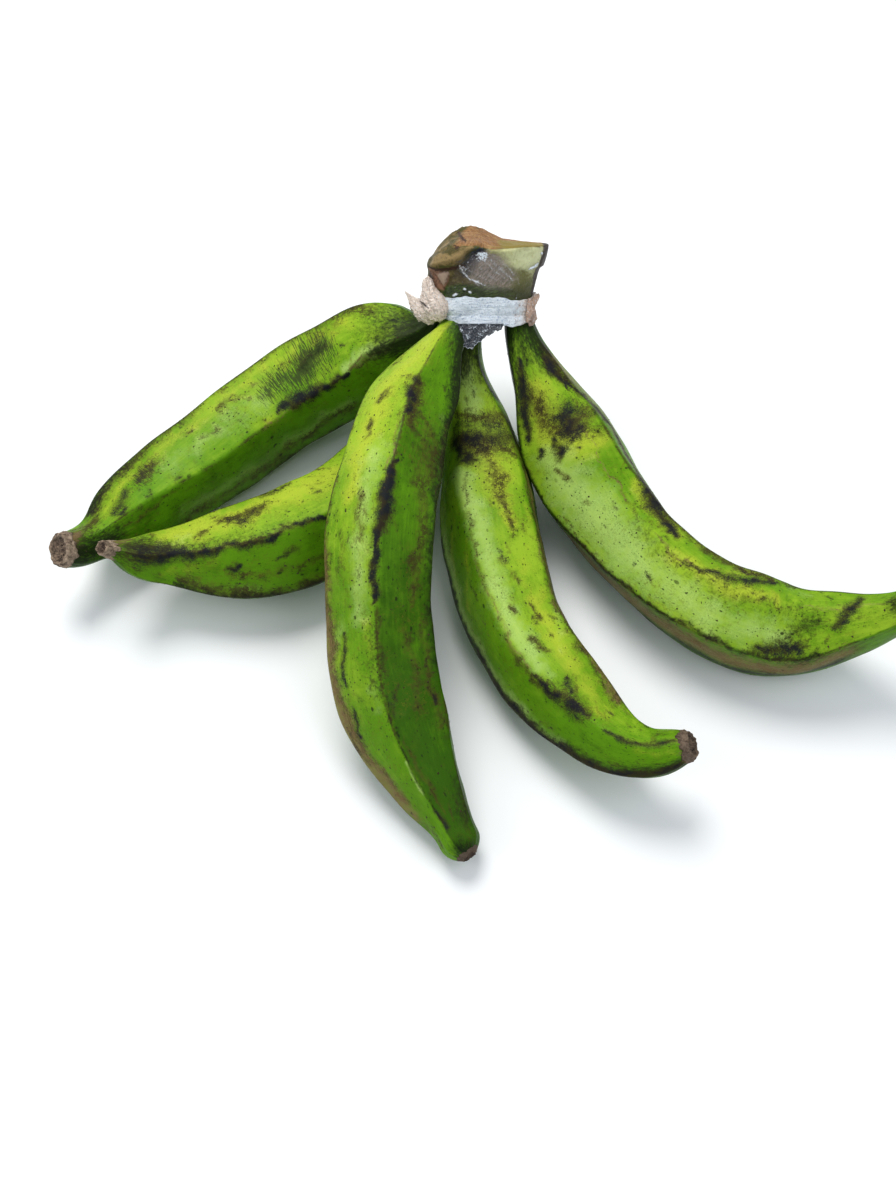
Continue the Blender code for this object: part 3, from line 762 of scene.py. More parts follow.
    # a bruise has a feathered brown halo and a nearly black, slightly blue core
    bruise = n.attribute("bruise")
    halo = n.broken(bruise, ragged, 1.0, 0.02, 0.80)
    colour = n.mix(halo, colour, c["brown"], most=0.62)
    edge = n.math("ADD", n.math("MULTIPLY", patches, 0.45), n.math("MULTIPLY", grain, 0.55))
    bruiseMask = n.broken(bruise, edge, 1.0, 0.32, 0.96)
    core = n.mix(n.ramp(patches, 0.56, 0.42), c["bruise"], c["bruiseBrown"])
    colour = n.mix(bruiseMask, colour, core, most=0.94)
    dryMask = n.broken(n.attribute("dry"), crumbs, 0.7, 0.25, 0.75)
    colour = n.mix(dryMask, colour, n.mix(fineFibres, c["dry"], c["tan"]))
    n.feed(n.shader.inputs["Base Color"], colour)

    rough = n.math("MULTIPLY_ADD", grain, 0.30, 0.26)
    worn = n.math("MAXIMUM", n.math("MAXIMUM", bruiseMask, dryMask), n.math("MAXIMUM", scuffMask, brownHard))
    n.feed(n.shader.inputs["Roughness"], n.math("MULTIPLY_ADD", worn, 0.20, rough, clamp=True))
    n.shader.inputs["Specular IOR Level"].default_value = 0.06

    relief = n.math("MULTIPLY", fibres, 0.30)
    relief = n.math("MULTIPLY_ADD", patches, 0.40, relief)
    relief = n.math("MULTIPLY_ADD", fineFibres, 0.06, relief)
    relief = n.math("MULTIPLY_ADD", grain, 0.12, relief)
    relief = n.math("MULTIPLY_ADD", worn, -0.15, relief)
    relief = n.math("MULTIPLY_ADD", n.math("MULTIPLY", worn, crumbs), 0.40, relief)
    n.bump(relief, 0.5, 0.8)
    return n.material


def facetSection(ridges, settings):
    # angles round the fruit, half the width of the facet that each lies on, and its distance from a ridge
    corners = sorted(ridges)
    count = settings["sidesPerFacet"]
    angles = []
    halves = []
    gaps = []
    for i, start in enumerate(corners):
        end = corners[(i + 1) % 5] + (360 if i == 4 else 0)
        for step in range(count):
            share = step / count
            angles.append(start + (end - start) * share)
            gaps.append((end - start) * min(share, 1 - share))
            halves.append((end - start) / 2)
    return np.array(angles), np.array(halves), np.array(gaps)


def ridgeTwist(spec, distance):
    # how far the ridges have turned at each distance, with no sudden bends
    turned = np.interp(distance, *spec["twist"])
    padded = np.pad(turned, 15, mode="edge")
    return np.convolve(padded, np.full(31, 1.0 / 31.0), mode="valid")


def facetTones(angles, ridges, tonesAndShade, blur=3.5):
    # tone round the fruit, with a quick change across each ridge
    corners = sorted(ridges)
    order = [ridges.index(corner) for corner in corners]
    total = np.zeros(len(angles))
    for i, start in enumerate(corners):
        end = corners[(i + 1) % 5] + (360 if i == 4 else 0)
        total[(angles >= start) & (angles < end)] = tonesAndShade[order[i]]
    for i, start in enumerate(corners):
        before = tonesAndShade[order[i - 1]]
        after = tonesAndShade[order[i]]
        away = turnBetween(angles, start)
        near = np.abs(away) < blur
        total[near] = before + (after - before) * (away[near] / blur + 1.0) / 2.0
    return total


def drawnWear(spec, settings, length):
    # small marks at random places, some anywhere and some along the ridges
    draw = np.random.default_rng(spec["seed"] * 7)
    marks = []
    for kind, count, strength, reach, widths in settings["wear"]:
        for _ in range(count):
            along = draw.uniform(22.0, length - 14.0)
            angle = draw.uniform(0.0, 360.0)
            run = draw.uniform(*reach)
            lean = draw.uniform(-0.9, 0.9)
            width = draw.uniform(*widths)
            middle = (along + run * 0.5, angle + run * lean + draw.uniform(-3.0, 3.0), width)
            end = (along + run, angle + 2.0 * run * lean, width * 0.5)
            start = (along, angle, width * 0.6)
            marks.append((kind, strength * draw.uniform(0.75, 1.15), [start, middle, end]))
    for kind, count, strength, reach, widths in settings["ridgeWear"]:
        for _ in range(count):
            along = draw.uniform(20.0, length - 45.0)
            angle = spec["ridges"][draw.integers(0, 5)] + draw.uniform(-2.0, 2.0)
            run = draw.uniform(*reach)
            width = draw.uniform(*widths)
            middle = (along + run / 2, angle + draw.uniform(-2.0, 2.0), width)
            start = (along, angle, width * 0.5)
            end = (along + run, angle, width * 0.4)
            marks.append((kind, strength, [start, middle, end]))
    return marks


def fruitRoute(spec, settings):
    # centres, radii and directions at even steps along the whole fruit, with the distances
    route = smoothRoute(spec["stations"], settings["rings"])
    centres = route[:, :3]
    steps = np.linalg.norm(np.diff(centres, axis=0), axis=1)
    distance = np.concatenate([[0.0], np.cumsum(steps)])
    radii = route[:, 3:] * settings["ridgeReach"]
    return distance, np.hstack([centres, radii, *carriedFrames(centres)])


def sampleRoute(distance, rows, levels):
    # centre, radius, tangent, upper side and cross side at any distances along the fruit
    found = np.stack([np.interp(levels, distance, column) for column in rows.T], axis=-1)
    return found[..., :3], found[..., 3], found[..., 4:7], found[..., 7:10], found[..., 10:13]


def peelSurface(name, spec, settings):
    # the peel's points ring by ring, with what the paint needs to know about them
    routeDistance, rows = fruitRoute(spec, settings)
    length = routeDistance[-1]
    distance = np.linspace(0.0, length - flowerEnds[name]["cut"], settings["rings"])
    centres, radii, tangents, uppers, crosses = sampleRoute(routeDistance, rows, distance)
    centres[0] -= tangents[0] * settings["stalkOvershoot"]

    angles, halves, gaps = facetSection(spec["ridges"], settings)
    loud = np.ones(len(angles))
    for ridge in spec["quiet"]:
        loud[np.abs(turnBetween(angles, ridge)) < settings["quietReach"]] = 0.0
    share = distance[:, None] / length
    flatness = settings["flatness"] * np.minimum(1.0, np.minimum(share / 0.12, (1.02 - share) / 0.1))
    rounding = settings["ridgeRounding"]
    softGap = np.sqrt(gaps**2 + rounding**2)
    offset = np.maximum(halves - softGap, 0.0)
    chord = np.cos(np.radians(halves - rounding)) / np.cos(np.radians(offset))
    factor = 1.0 - flatness + flatness * chord[None, :]

    along = np.broadcast_to(distance[:, None], factor.shape)
    around = angles[None, :] + ridgeTwist(spec, distance)[:, None]
    middle = np.clip(np.minimum(along, length - along) / settings["endReach"], 0.0, 1.0)
    rib = (loud * np.exp(-(gaps / settings["ribWidth"])**2))[None, :] * middle * settings["ribHeight"]
    reach = radii[:, None] * factor + rib
    reach = reach + waves(along, around, spec["seed"], settings["lumps"]) * middle
    wrinkled = np.clip(1.0 - along / settings["stalkWrinkles"], 0.0, 1.0)
    wrinkled = wrinkled + np.clip(1.0 - (length - along) / settings["tipWrinkles"], 0.0, 1.0)
    reach = reach + waves(along, around, spec["seed"] + 1, settings["wrinkles"]) * wrinkled
    turn = np.radians(around)[..., None]
    outward = np.cos(turn) * uppers[:, None, :] + np.sin(turn) * crosses[:, None, :]
    return {
        "points": centres[:, None, :] + reach[:, :, None] * outward,
        "ends": np.array([centres[0], centres[-1] + tangents[-1] * settings["tipOvershoot"]]),
        "length": length,
        "radii": radii,
        "angles": angles,
        "along": along,
        "around": around,
        "ridge": (loud * np.exp(-(gaps / settings["ridgePaint"])**2))[None, :] * middle,
    }


def peelMarks(spec, settings, surface):
    # strength of each layer of wear; coordinates are bent, so that no stroke has an even outline
    along, around = surface["along"], surface["around"]
    bentAlong = along + waves(along, around, spec["seed"] + 2, settings["bendAlong"])
    bentAround = around + waves(along, around, spec["seed"] + 3, settings["bendAround"])
    layers = {layer: np.zeros(along.shape) for layer in settings["layers"]}
    for kind, strength, stroke in spec["marks"] + drawnWear(spec, settings, surface["length"]):
        if kind == "bruise":  # room for the halo
            stroke = [(start, angle, width * settings["haloRoom"]) for start, angle, width in stroke]
        field = strength * strokeField(bentAlong, bentAround, surface["radii"][:, None], stroke)
        layers[kind] = np.maximum(layers[kind], field)
    return layers


def peelTone(spec, settings, surface):
    # from 0, lime, to 1, deep green: the peel's own tone with painted shade, facet by facet with the facets
    # turned from the light painted deeper, drifting along the fruit and deeper at the stalk
    along = surface["along"]
    toneAndShade = facetTones(surface["angles"], spec["ridges"], spec["tonesAndShade"])
    toneAndShade = np.broadcast_to(toneAndShade[None, :], along.shape)
    stalkTone, endTone = spec["drift"]
    toneAndShade = toneAndShade + stalkTone + (endTone - stalkTone) * along / surface["length"]
    toneAndShade = toneAndShade + 0.25 * np.clip(1.0 - along / 24.0, 0.0, 1.0)
    return toneAndShade + waves(along, surface["around"], spec["seed"] + 4, settings["toneWaves"])


def makeFruit(name, spec, settings, material):
    surface = peelSurface(name, spec, settings)
    points = np.vstack([surface["points"].reshape(-1, 3), surface["ends"]]) + handShift
    lift = points[:, 2]
    points[:, 2] = 0.5 * (lift + np.sqrt(lift**2 + 0.15))  # the belly settles on the floor
    turn = np.radians(surface["around"])
    forward = surface["along"] / 10.0 + spec["seed"]
    place = np.stack([forward, 2.0 * np.cos(turn), 2.0 * np.sin(turn)], axis=-1).reshape(-1, 3)

    attributes = []
    fields = peelMarks(spec, settings, surface)
    fields["ridge"] = surface["ridge"]
    for layer, values in fields.items():
        attributes.append((layer, np.concatenate([values.ravel(), [values[0, 0], values[-1, 0]]])))
    toneAndShade = peelTone(spec, settings, surface)
    attributes.append(("toneAndShade", np.concatenate([toneAndShade.ravel(), [1.0, 1.0]])))
    attributes.append(("peelPlace", np.vstack([place, [place[0], place[-1]]])))
    faces = gridFaces(settings["rings"], len(surface["angles"]), len(points) - 2, len(points) - 1)
    piece = linkPiece(name.replace("finger", "peel"), points, faces, material, attributes)
    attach(piece, "root")
    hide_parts(name)
    print("made", piece.name, "length", round(surface["length"]), "mm")
    return piece


# ---- woody flower ends

# cut: how far the peel stops short; cover: how much of it the bark covers; rim, dish and knob
# shape the scar; all in mm; pale: 0 for nearly black bark to 1 for light
flowerEnds = {
    "finger_left_back": dict(cut=2.6, cover=3.6, proud=0.45, rim=0.7, dish=-0.5, knob=0.8, pale=0.95),
    "finger_left_front": dict(cut=2.0, cover=6.0, proud=0.40, rim=0.4, dish=-0.3, knob=0.5, pale=1.0),
    "finger_middle": dict(cut=0.8, cover=1.4, proud=0.15, rim=0.3, dish=0.5, knob=0.3, pale=0.15),
    "finger_right_front": dict(cut=2.0, cover=3.0, proud=0.55, rim=0.8, dish=-0.2, knob=2.0, pale=0.30),
    "finger_right": dict(cut=3.2, cover=5.5, proud=0.45, rim=0.7, dish=-0.5, knob=0.8, pale=0.7),
}
endSettings = {
    "sides": 120,
    "barkRings": 34,
    "scarRings": 30,
    "bark": (0.44, 0.33, 0.235),
    "barkDark": (0.055, 0.034, 0.022),
    "scar": (0.235, 0.165, 0.115),
    "pit": (0.030, 0.020, 0.015),
}


def makeBarkMaterial(settings):
    n = Nodes("flower_end_bark")
    place = n.place()
    lumps = n.noise(place, 420.0, detail=6.0, roughness=0.7, distortion=0.6)
    grain = n.noise(place, 1500.0, detail=4.0, roughness=0.7)
    spots, _ = n.cells(place, 620.0)
    bark = n.mix(n.stretch(lumps, 0.36, 0.60), settings["barkDark"], settings["bark"])
    bark = n.mix(n.stretch(grain), bark, settings["barkDark"], most=0.35)
    bark = n.mix(n.attribute("darkened"), bark, settings["barkDark"])
    scar = n.mix(n.stretch(lumps, 0.38, 0.62), settings["pit"], settings["scar"])
    scar = n.mix(n.ramp(spots, 0.30, 0.16), scar, settings["pit"])
    scar = n.mix(n.attribute("darkened"), scar, settings["pit"], most=0.8)
    colour = n.mix(n.attribute("scarred"), bark, scar)
    n.feed(n.shader.inputs["Base Color"], colour)
    n.feed(n.shader.inputs["Roughness"], n.math("MULTIPLY_ADD", grain, 0.25, 0.62, clamp=True))
    n.shader.inputs["Specular IOR Level"].default_value = 0.2
    n.bump(n.math("MULTIPLY_ADD", grain, 0.4, lumps), 0.8, 0.9)
    return n.material


def makeFlowerEnd(name, end, settings, material):
    spec = fruits[name]
    distance, rows = fruitRoute(spec, peelSettings)
    length = distance[-1]
    seed = spec["seed"]
    sides = settings["sides"]
    turn = np.linspace(0.0, 2 * math.pi, sides, endpoint=False)
    ragged = 1.0 + 0.16 * np.sin(turn * 4 + seed) + 0.12 * np.sin(turn * 9 + 2.0 * seed)
    ragged = ragged + 0.08 * np.sin(turn * 17 + seed)
    stain = (1.0 - end["pale"]) * 0.9
    rings = []
    scarred = []
    darkened = []
    for share in np.linspace(0.0, 1.0, settings["barkRings"]):
        levels = length - end["cover"] * ragged * (1.0 - share)
        centre, radius, _, upper, cross = sampleRoute(distance, rows, levels)
        rise = end["proud"] * min(1.0, share / 0.25) * (0.75 + 0.25 * math.sin(share * 9.0 + seed))
        lumps = 0.24 * np.sin(turn * 7 + share * 5 + seed) + 0.18 * np.sin(turn * 13 - share * 9)
        lumps = lumps + 0.12 * np.sin(turn * 23 + share * 17)
        radius = radius * 0.99 + rise * (1.0 + lumps) - 0.3 * (share < 0.02)
        outward = np.cos(turn)[:, None] * upper + np.sin(turn)[:, None] * cross
        rings.append(centre + radius[:, None] * outward)
        scarred.append(np.zeros(sides))
        darkened.append(np.full(sides, stain + 0.6 * (share < 0.10)))
    last = rings[-1]
    hub = last.mean(axis=0)
    forward = rows[-1, 4:7]
    for share in np.arange(1, settings["scarRings"]) / settings["scarRings"]:
        lift = end["rim"] * math.exp(-((share - 0.14) / 0.12)**2)
        lift += end["dish"] * (1.0 - math.exp(-(share / 0.45)**4))
        lift += end["knob"] * math.exp(-((1.0 - share) / 0.34)**2)
        pits = 0.30 * np.sin(turn * 5 + 12 * share + seed) * math.sin(9 * share + seed)
        pits = pits + 0.20 * np.sin(turn * 11 - 26 * share)
        bumps = (lift + pits * min(1.0, (1.0 - share) * 3.0))[:, None] * forward
        rings.append(hub + (last - hub) * (1.0 - share) + bumps)
        scarred.append(np.full(sides, min(1.0, max(0.0, (share - 0.20) / 0.12))))
        darkened.append(np.full(sides, stain))
    points = np.vstack(rings + [rings[0].mean(axis=0), rings[-1].mean(axis=0)]) + handShift
    points[:, 2] = np.maximum(points[:, 2], 0.3)  # clear of the floor
    faces = gridFaces(len(rings), sides, len(points) - 2, len(points) - 1)
    attributes = [
        ("scarred", np.concatenate(scarred + [[0.0, 1.0]])),
        ("darkened", np.clip(np.concatenate(darkened + [[0.0, stain]]), 0.0, 1.0)),
    ]
    piece = linkPiece(name.replace("finger", "flower_end"), points, faces, material, attributes)
    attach(piece, "root")
    print("made", piece.name)


# ---- raised flecks on the peel

# density is in flecks to the square metre; spacing and the sizes along, across and up are in mm
fleckSettings = {
    "density": 12000.0,
    "spacing": 2.6,
    "smallest": (0.16, 0.14, 0.05),
    "largest": (0.62, 0.42, 0.13),
    "colour": (0.016, 0.013, 0.006),
    "colourLight": (0.070, 0.050, 0.020),
}


def makeFleckMaterial(settings):
    n = Nodes("peel_fleck")
    grain = n.noise(n.place(), 1300.0, detail=4.0, roughness=0.7)
    colour = n.mix(n.stretch(grain), settings["colour"], settings["colourLight"])
    n.feed(n.shader.inputs["Base Color"], colour)
    n.feed(n.shader.inputs["Roughness"], n.math("MULTIPLY_ADD", grain, 0.3, 0.5))
    n.shader.inputs["Specular IOR Level"].default_value = 0.15
    n.bump(grain, 0.2, 0.6)
    return n.material


def makeFleckTree():
    # scatters small uneven lumps over a surface, each laid flat and turned at random
    tree = bpy.data.node_groups.new("scatter_flecks", "GeometryNodeTree")
    sockets = (
        ("Geometry", "NodeSocketGeometry"),
        ("Density", "NodeSocketFloat"),
        ("Spacing", "NodeSocketFloat"),
        ("Smallest", "NodeSocketVector"),
        ("Largest", "NodeSocketVector"),
        ("Seed", "NodeSocketInt"),
        ("Material", "NodeSocketMaterial"),
    )
    for label, kind in sockets:
        tree.interface.new_socket(label, in_out="INPUT", socket_type=kind)
    tree.interface.new_socket("Geometry", in_out="OUTPUT", socket_type="NodeSocketGeometry")
    add = tree.nodes.new
    link = tree.links.new
    given = add("NodeGroupInput").outputs
    points = add("GeometryNodeDistributePointsOnFaces")
    points.distribute_method = "POISSON"
    link(given["Geometry"], points.inputs["Mesh"])
    link(given["Density"], points.inputs["Density Max"])
    link(given["Spacing"], points.inputs["Distance Min"])
    link(given["Seed"], points.inputs["Seed"])
    lump = add("GeometryNodeMeshIcoSphere")
    lump.inputs["Radius"].default_value = 1.0
    lump.inputs["Subdivisions"].default_value = 1
    wobble = add("ShaderNodeTexNoise")
    wobble.inputs["Scale"].default_value = 1.6
    centred = add("ShaderNodeVectorMath")
    centred.operation = "SUBTRACT"
    centred.inputs[1].default_value = (0.5, 0.5, 0.5)
    link(wobble.outputs["Color"], centred.inputs[0])
    shaped = add("GeometryNodeSetPosition")
    link(lump.outputs["Mesh"], shaped.inputs["Geometry"])
    link(centred.outputs[0], shaped.inputs["Offset"])
    turn = add("FunctionNodeRandomValue")
    turn.data_type = "FLOAT_VECTOR"
    turn.inputs[0].default_value = (0.0, 0.0, 0.0)
    turn.inputs[1].default_value = (0.0, 0.0, 6.28)
    turned = add("FunctionNodeRotateRotation")
    turned.rotation_space = "LOCAL"
    link(points.outputs["Rotation"], turned.inputs[0])
    link(turn.outputs[0], turned.inputs[1])
    size = add("FunctionNodeRandomValue")
    size.data_type = "FLOAT_VECTOR"
    link(given["Smallest"], size.inputs[0])
    link(given["Largest"], size.inputs[1])
    placed = add("GeometryNodeInstanceOnPoints")
    link(points.outputs["Points"], placed.inputs["Points"])
    link(shaped.outputs["Geometry"], placed.inputs["Instance"])
    link(turned.outputs[0], placed.inputs["Rotation"])
    link(size.outputs[0], placed.inputs["Scale"])
    real = add("GeometryNodeRealizeInstances")
    link(placed.outputs["Instances"], real.inputs["Geometry"])
    painted = add("GeometryNodeSetMaterial")
    link(real.outputs["Geometry"], painted.inputs["Geometry"])
    link(given["Material"], painted.inputs["Material"])
    link(painted.outputs["Geometry"], add("NodeGroupOutput").inputs["Geometry"])
    return tree


def makeFlecks(fruit, tree, settings, material, seed):
    # the tree runs on a copy of the fruit, and what it makes is kept as a plain mesh
    ground = bpy.data.objects.new("fleck_ground", fruit.data)
    bpy.context.scene.collection.objects.link(ground)
    modifier = ground.modifiers.new("flecks", "NODES")
    modifier.node_group = tree
    values = {
        "Density": settings["density"],
        "Spacing": settings["spacing"] * mm,
        "Smallest": [size * mm for size in settings["smallest"]],
        "Largest": [size * mm for size in settings["largest"]],
        "Seed": seed,
        "Material": material,
    }
    for item in tree.interface.items_tree:
        if item.in_out == "INPUT" and item.name in values:
            modifier[item.identifier] = values[item.name]
    graph = bpy.context.evaluated_depsgraph_get()
    data = bpy.data.meshes.new_from_object(ground.evaluated_get(graph))
    bpy.data.objects.remove(ground)
    data.shade_smooth()
    piece = bpy.data.objects.new(fruit.name.replace("peel", "flecks"), data)
    bpy.context.scene.collection.objects.link(piece)
    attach(piece, "root")
    print("made", piece.name, "with", len(data.polygons), "faces")


# ---- crown

# the neck is where the stalks meet the crown; its own directions are side, front and height
neck = {
    "centre": np.array([-1.0, 97.5, 64.0]),
    "lean": math.radians(43.0),
}
neckAxis = np.array([0.0, math.sin(neck["lean"]), math.cos(neck["lean"])])
neckSide = np.array([1.0, 0.0, 0.0])
neckFront = np.array([0.0, -math.cos(neck["lean"]), math.sin(neck["lean"])])


def neckPoints(side, front, height):
    # points from their distances to the right of, in front of and above the neck's centre
    shape = np.broadcast(side, front, height).shape
    side, front, height = (np.broadcast_to(value, shape)[..., None] for value in (side, front, height))
    return neck["centre"] + neckSide * side + neckFront * front + neckAxis * height


def hump(x, y, centre, size, power=2.0):
    # a smooth mound of height 1; a high power gives it a flat top and steep sides
    away = np.hypot((x - centre[0]) / size[0], (y - centre[1]) / size[1])
    return np.exp(-away**power)


def outline(angle, right, left, front, back, boxiness):
    # radius of a rounded box at an angle counted from its right side to its front
    across = np.cos(angle)
    ahead = np.sin(angle)
    width = np.where(across > 0, right, left)
    depth = np.where(ahead > 0, front, back)
    return (np.abs(across / width)**boxiness + np.abs(ahead / depth)**boxiness)**(-1 / boxiness)


crownSettings = {
    "sides": 320,
    "wallRings": 104,
    "topRings": 54,
    "heights": (0.0, 7.0, 14.0, 21.0, 28.0, 35.0),
    "left": (20.5, 22.0, 22.5, 22.5, 20.5, 18.0),
    "right": (21.0, 22.0, 24.0, 26.5, 28.8, 29.4),
    "front": (13.0, 14.0, 15.5, 17.0, 17.5, 17.0),
    "back": (13.0, 13.5, 14.5, 15.5, 15.5, 15.0),
    "boxiness": 2.6,
    "topX": (-23.0, -18.0, -13.0, -8.0, -4.0, 1.0, 5.0, 10.0, 18.0, 30.0),
    "topHeight": (22.0, 27.8, 31.6, 33.8, 34.2, 33.0, 31.6, 30.4, 29.8, 29.0),
    "topTilt": (0.05, 0.08, 0.13, 0.19, 0.20, 0.17, 0.13, 0.05, 0.0, 0.0),
    "foot": 0.3,
    "colours": {
        "skin": (0.075, 0.080, 0.018),
        "skinLight": (0.18, 0.145, 0.050),
        "mound": (0.075, 0.062, 0.016),
        "golden": (0.25, 0.175, 0.070),
        "cut": (0.36, 0.190, 0.075),
        "cutRed": (0.20, 0.085, 0.032),
        "cutLight": (0.46, 0.30, 0.13),
        "strip": (0.23, 0.175, 0.035),
        "cream": (0.78, 0.80, 0.46),
        "creamDull": (0.50, 0.50, 0.19),
        "face": (0.26, 0.25, 0.075),
        "faceLow": (0.050, 0.055, 0.014),
        "veil": (0.40, 0.31, 0.25),
        "veilDark": (0.075, 0.060, 0.045),
        "lowOlive": (0.060, 0.044, 0.014),
        "band": (0.018, 0.036, 0.006),
        "bandLight": (0.070, 0.120, 0.020),
        "russet": (0.235, 0.120, 0.070),
        "russetDark": (0.050, 0.024, 0.014),
        "shard": (0.38, 0.27, 0.20),
        # painted shade of the hollow, and lighter painted reflection in the film over it
        "shadedRecess": (0.008, 0.014, 0.034),
        "recessLight": (0.070, 0.100, 0.165),
        "edge": (0.026, 0.014, 0.008),
    },
}

# zones of the crown's front by distance to the side and height above the neck, with their soft borders
crownZones = {
    "face": (4.5, [(3.4, 27.6), (10, 30), (30, 30), (26, 14), (22, 8), (8, 12), (2.2, 15.5), (7, 20)]),
    "cream": (9.0, [(3.8, 26.2), (7, 28.4), (28, 28.4), (26.5, 22), (20.5, 18.4), (12.5, 20.4), (7, 23.2)]),
    "veil": (7.0, [(-5.6, 19.4), (-1.2, 23.6), (3.2, 26.4), (8.2, 24.4), (14.8, 16), (11, 12.6),
                   (2.2, 12.4), (-3.4, 15)]),
    "band": (3.4, [(-17, 5), (-16, 12.2), (-10, 13), (3.8, 13), (12, 11.2), (23, 8.2), (23, 5)]),
    "lowOlive": (3.0, [(-15.4, 12), (-13.4, 18.6), (-10, 20.4), (-7, 17), (-3.6, 14), (4, 12.8)]),
    "russet": (2.4, [(-27, 21), (-19.8, 19.4), (-13.4, 18), (-13.8, 14), (-15.8, 10), (-19, 11), (-27, 12)]),
    "shard": (2.6, [(-19.2, 17.2), (-14.2, 17.6), (-15.5, 10.8)]),
    "mound": (1.4, [(-27, 37), (-27, 19), (-20, 19), (-14, 20.6), (-10, 21.4), (-7.4, 23.4), (-4.2, 27),
                    (-2, 29.6), (-5, 31), (-7, 38)]),
    "golden": (3.6, [(-21, 19.4), (-14, 20.6), (-9.6, 21.6), (-4, 27.4), (-1.6, 30), (-6, 30.6), (-11, 25.6),
                     (-19, 26)]),
    # the hollow, dented in and painted dark as shade
    "shadedRecess": (3.8, [(-11, 20.6), (-7.8, 23), (-4.6, 26.6), (-0.6, 28.2), (2.2, 27), (0.6, 23.6),
                     (-2.6, 20.6),
                     (-4.6, 17.4), (-7.6, 16.6)]),
}

# dark lines and pits of the crown's front: strength, then side, height and half width
crownLines = [
    (1.0, [(-21.5, 19.6, 0.7), (-18, 18.9, 1.0), (-13.5, 19.2, 1.3), (-10, 20.4, 1.5)]),
    (1.0, [(-11.2, 28.6, 0.9), (-10.4, 28.0, 1.1)]),
    (0.9, [(-9.4, 33.2, 1.0), (-8.2, 31.6, 1.6), (-6.8, 30.6, 0.9)]),
    (0.7, [(-22, 17.8, 0.8), (-21, 14, 0.8)]),
    (0.5, [(-19.6, 16.8, 0.6), (-17, 13.6, 0.6), (-15.6, 10.6, 0.9)]),
    (0.7, [(-23.5, 15.5, 0.7), (-21.5, 18.5, 0.6)]),
    (0.35, [(-14, 17.6, 0.5), (-15.4, 11, 0.5)]),
]


def crownRadius(angle, height, settings):
    keys = ("right", "left", "front", "back")
    rows = [np.interp(height, settings["heights"], settings[key]) for key in keys]
    return outline(angle, *rows, settings["boxiness"])


def crownTop(side, front, settings):
    tilt = np.interp(side, settings["topX"], settings["topTilt"])
    return np.interp(side, settings["topX"], settings["topHeight"]) - tilt * front - 0.003 * front * front


def crownZone(name, side, height):
    soft, corners = crownZones[name]
    return zone(side, height, corners, soft)


def crownRelief(angle, side, height):
    # how far the crown's front stands out or in, in mm, from the lobe on the left to the cut edge
    facing = np.clip(np.sin(angle) * 1.6, 0.0, 1.0)
    relief = 2.0 * zone(side, height, crownZones["mound"][1], 5.0)
    relief = relief + 0.6 * crownZone("golden", side, height)
    relief = relief - 5.2 * zone(side, height, crownZones["shadedRecess"][1], 2.6)
    relief = relief - 1.7 * zone(side, height, crownZones["veil"][1], 6.0)
    relief = relief - 1.6 * hump(side, height, (15.0, 19.0), (9.0, 7.0))
    relief = relief + 0.7 * zone(side, height, crownZones["shard"][1], 1.4)
    relief = relief - 0.9 * flatStrokes(side, height, crownLines)
    relief = relief + 0.35 * np.sin(1.5 * side + 0.8 * height) * crownZone("russet", side, height)
    return relief * facing


def crownStep(angle, height):
    # the cut right edge steps in a little below its middle
    below = np.clip((19.8 - height) / 0.9, 0.0, 1.0)
    rightmost = np.clip(np.cos(angle), 0.0, 1.0)**8
    return (0.5 - 1.2 * below) * rightmost * np.clip((height - 9.0) / 8.0, 0.0, 1.0)


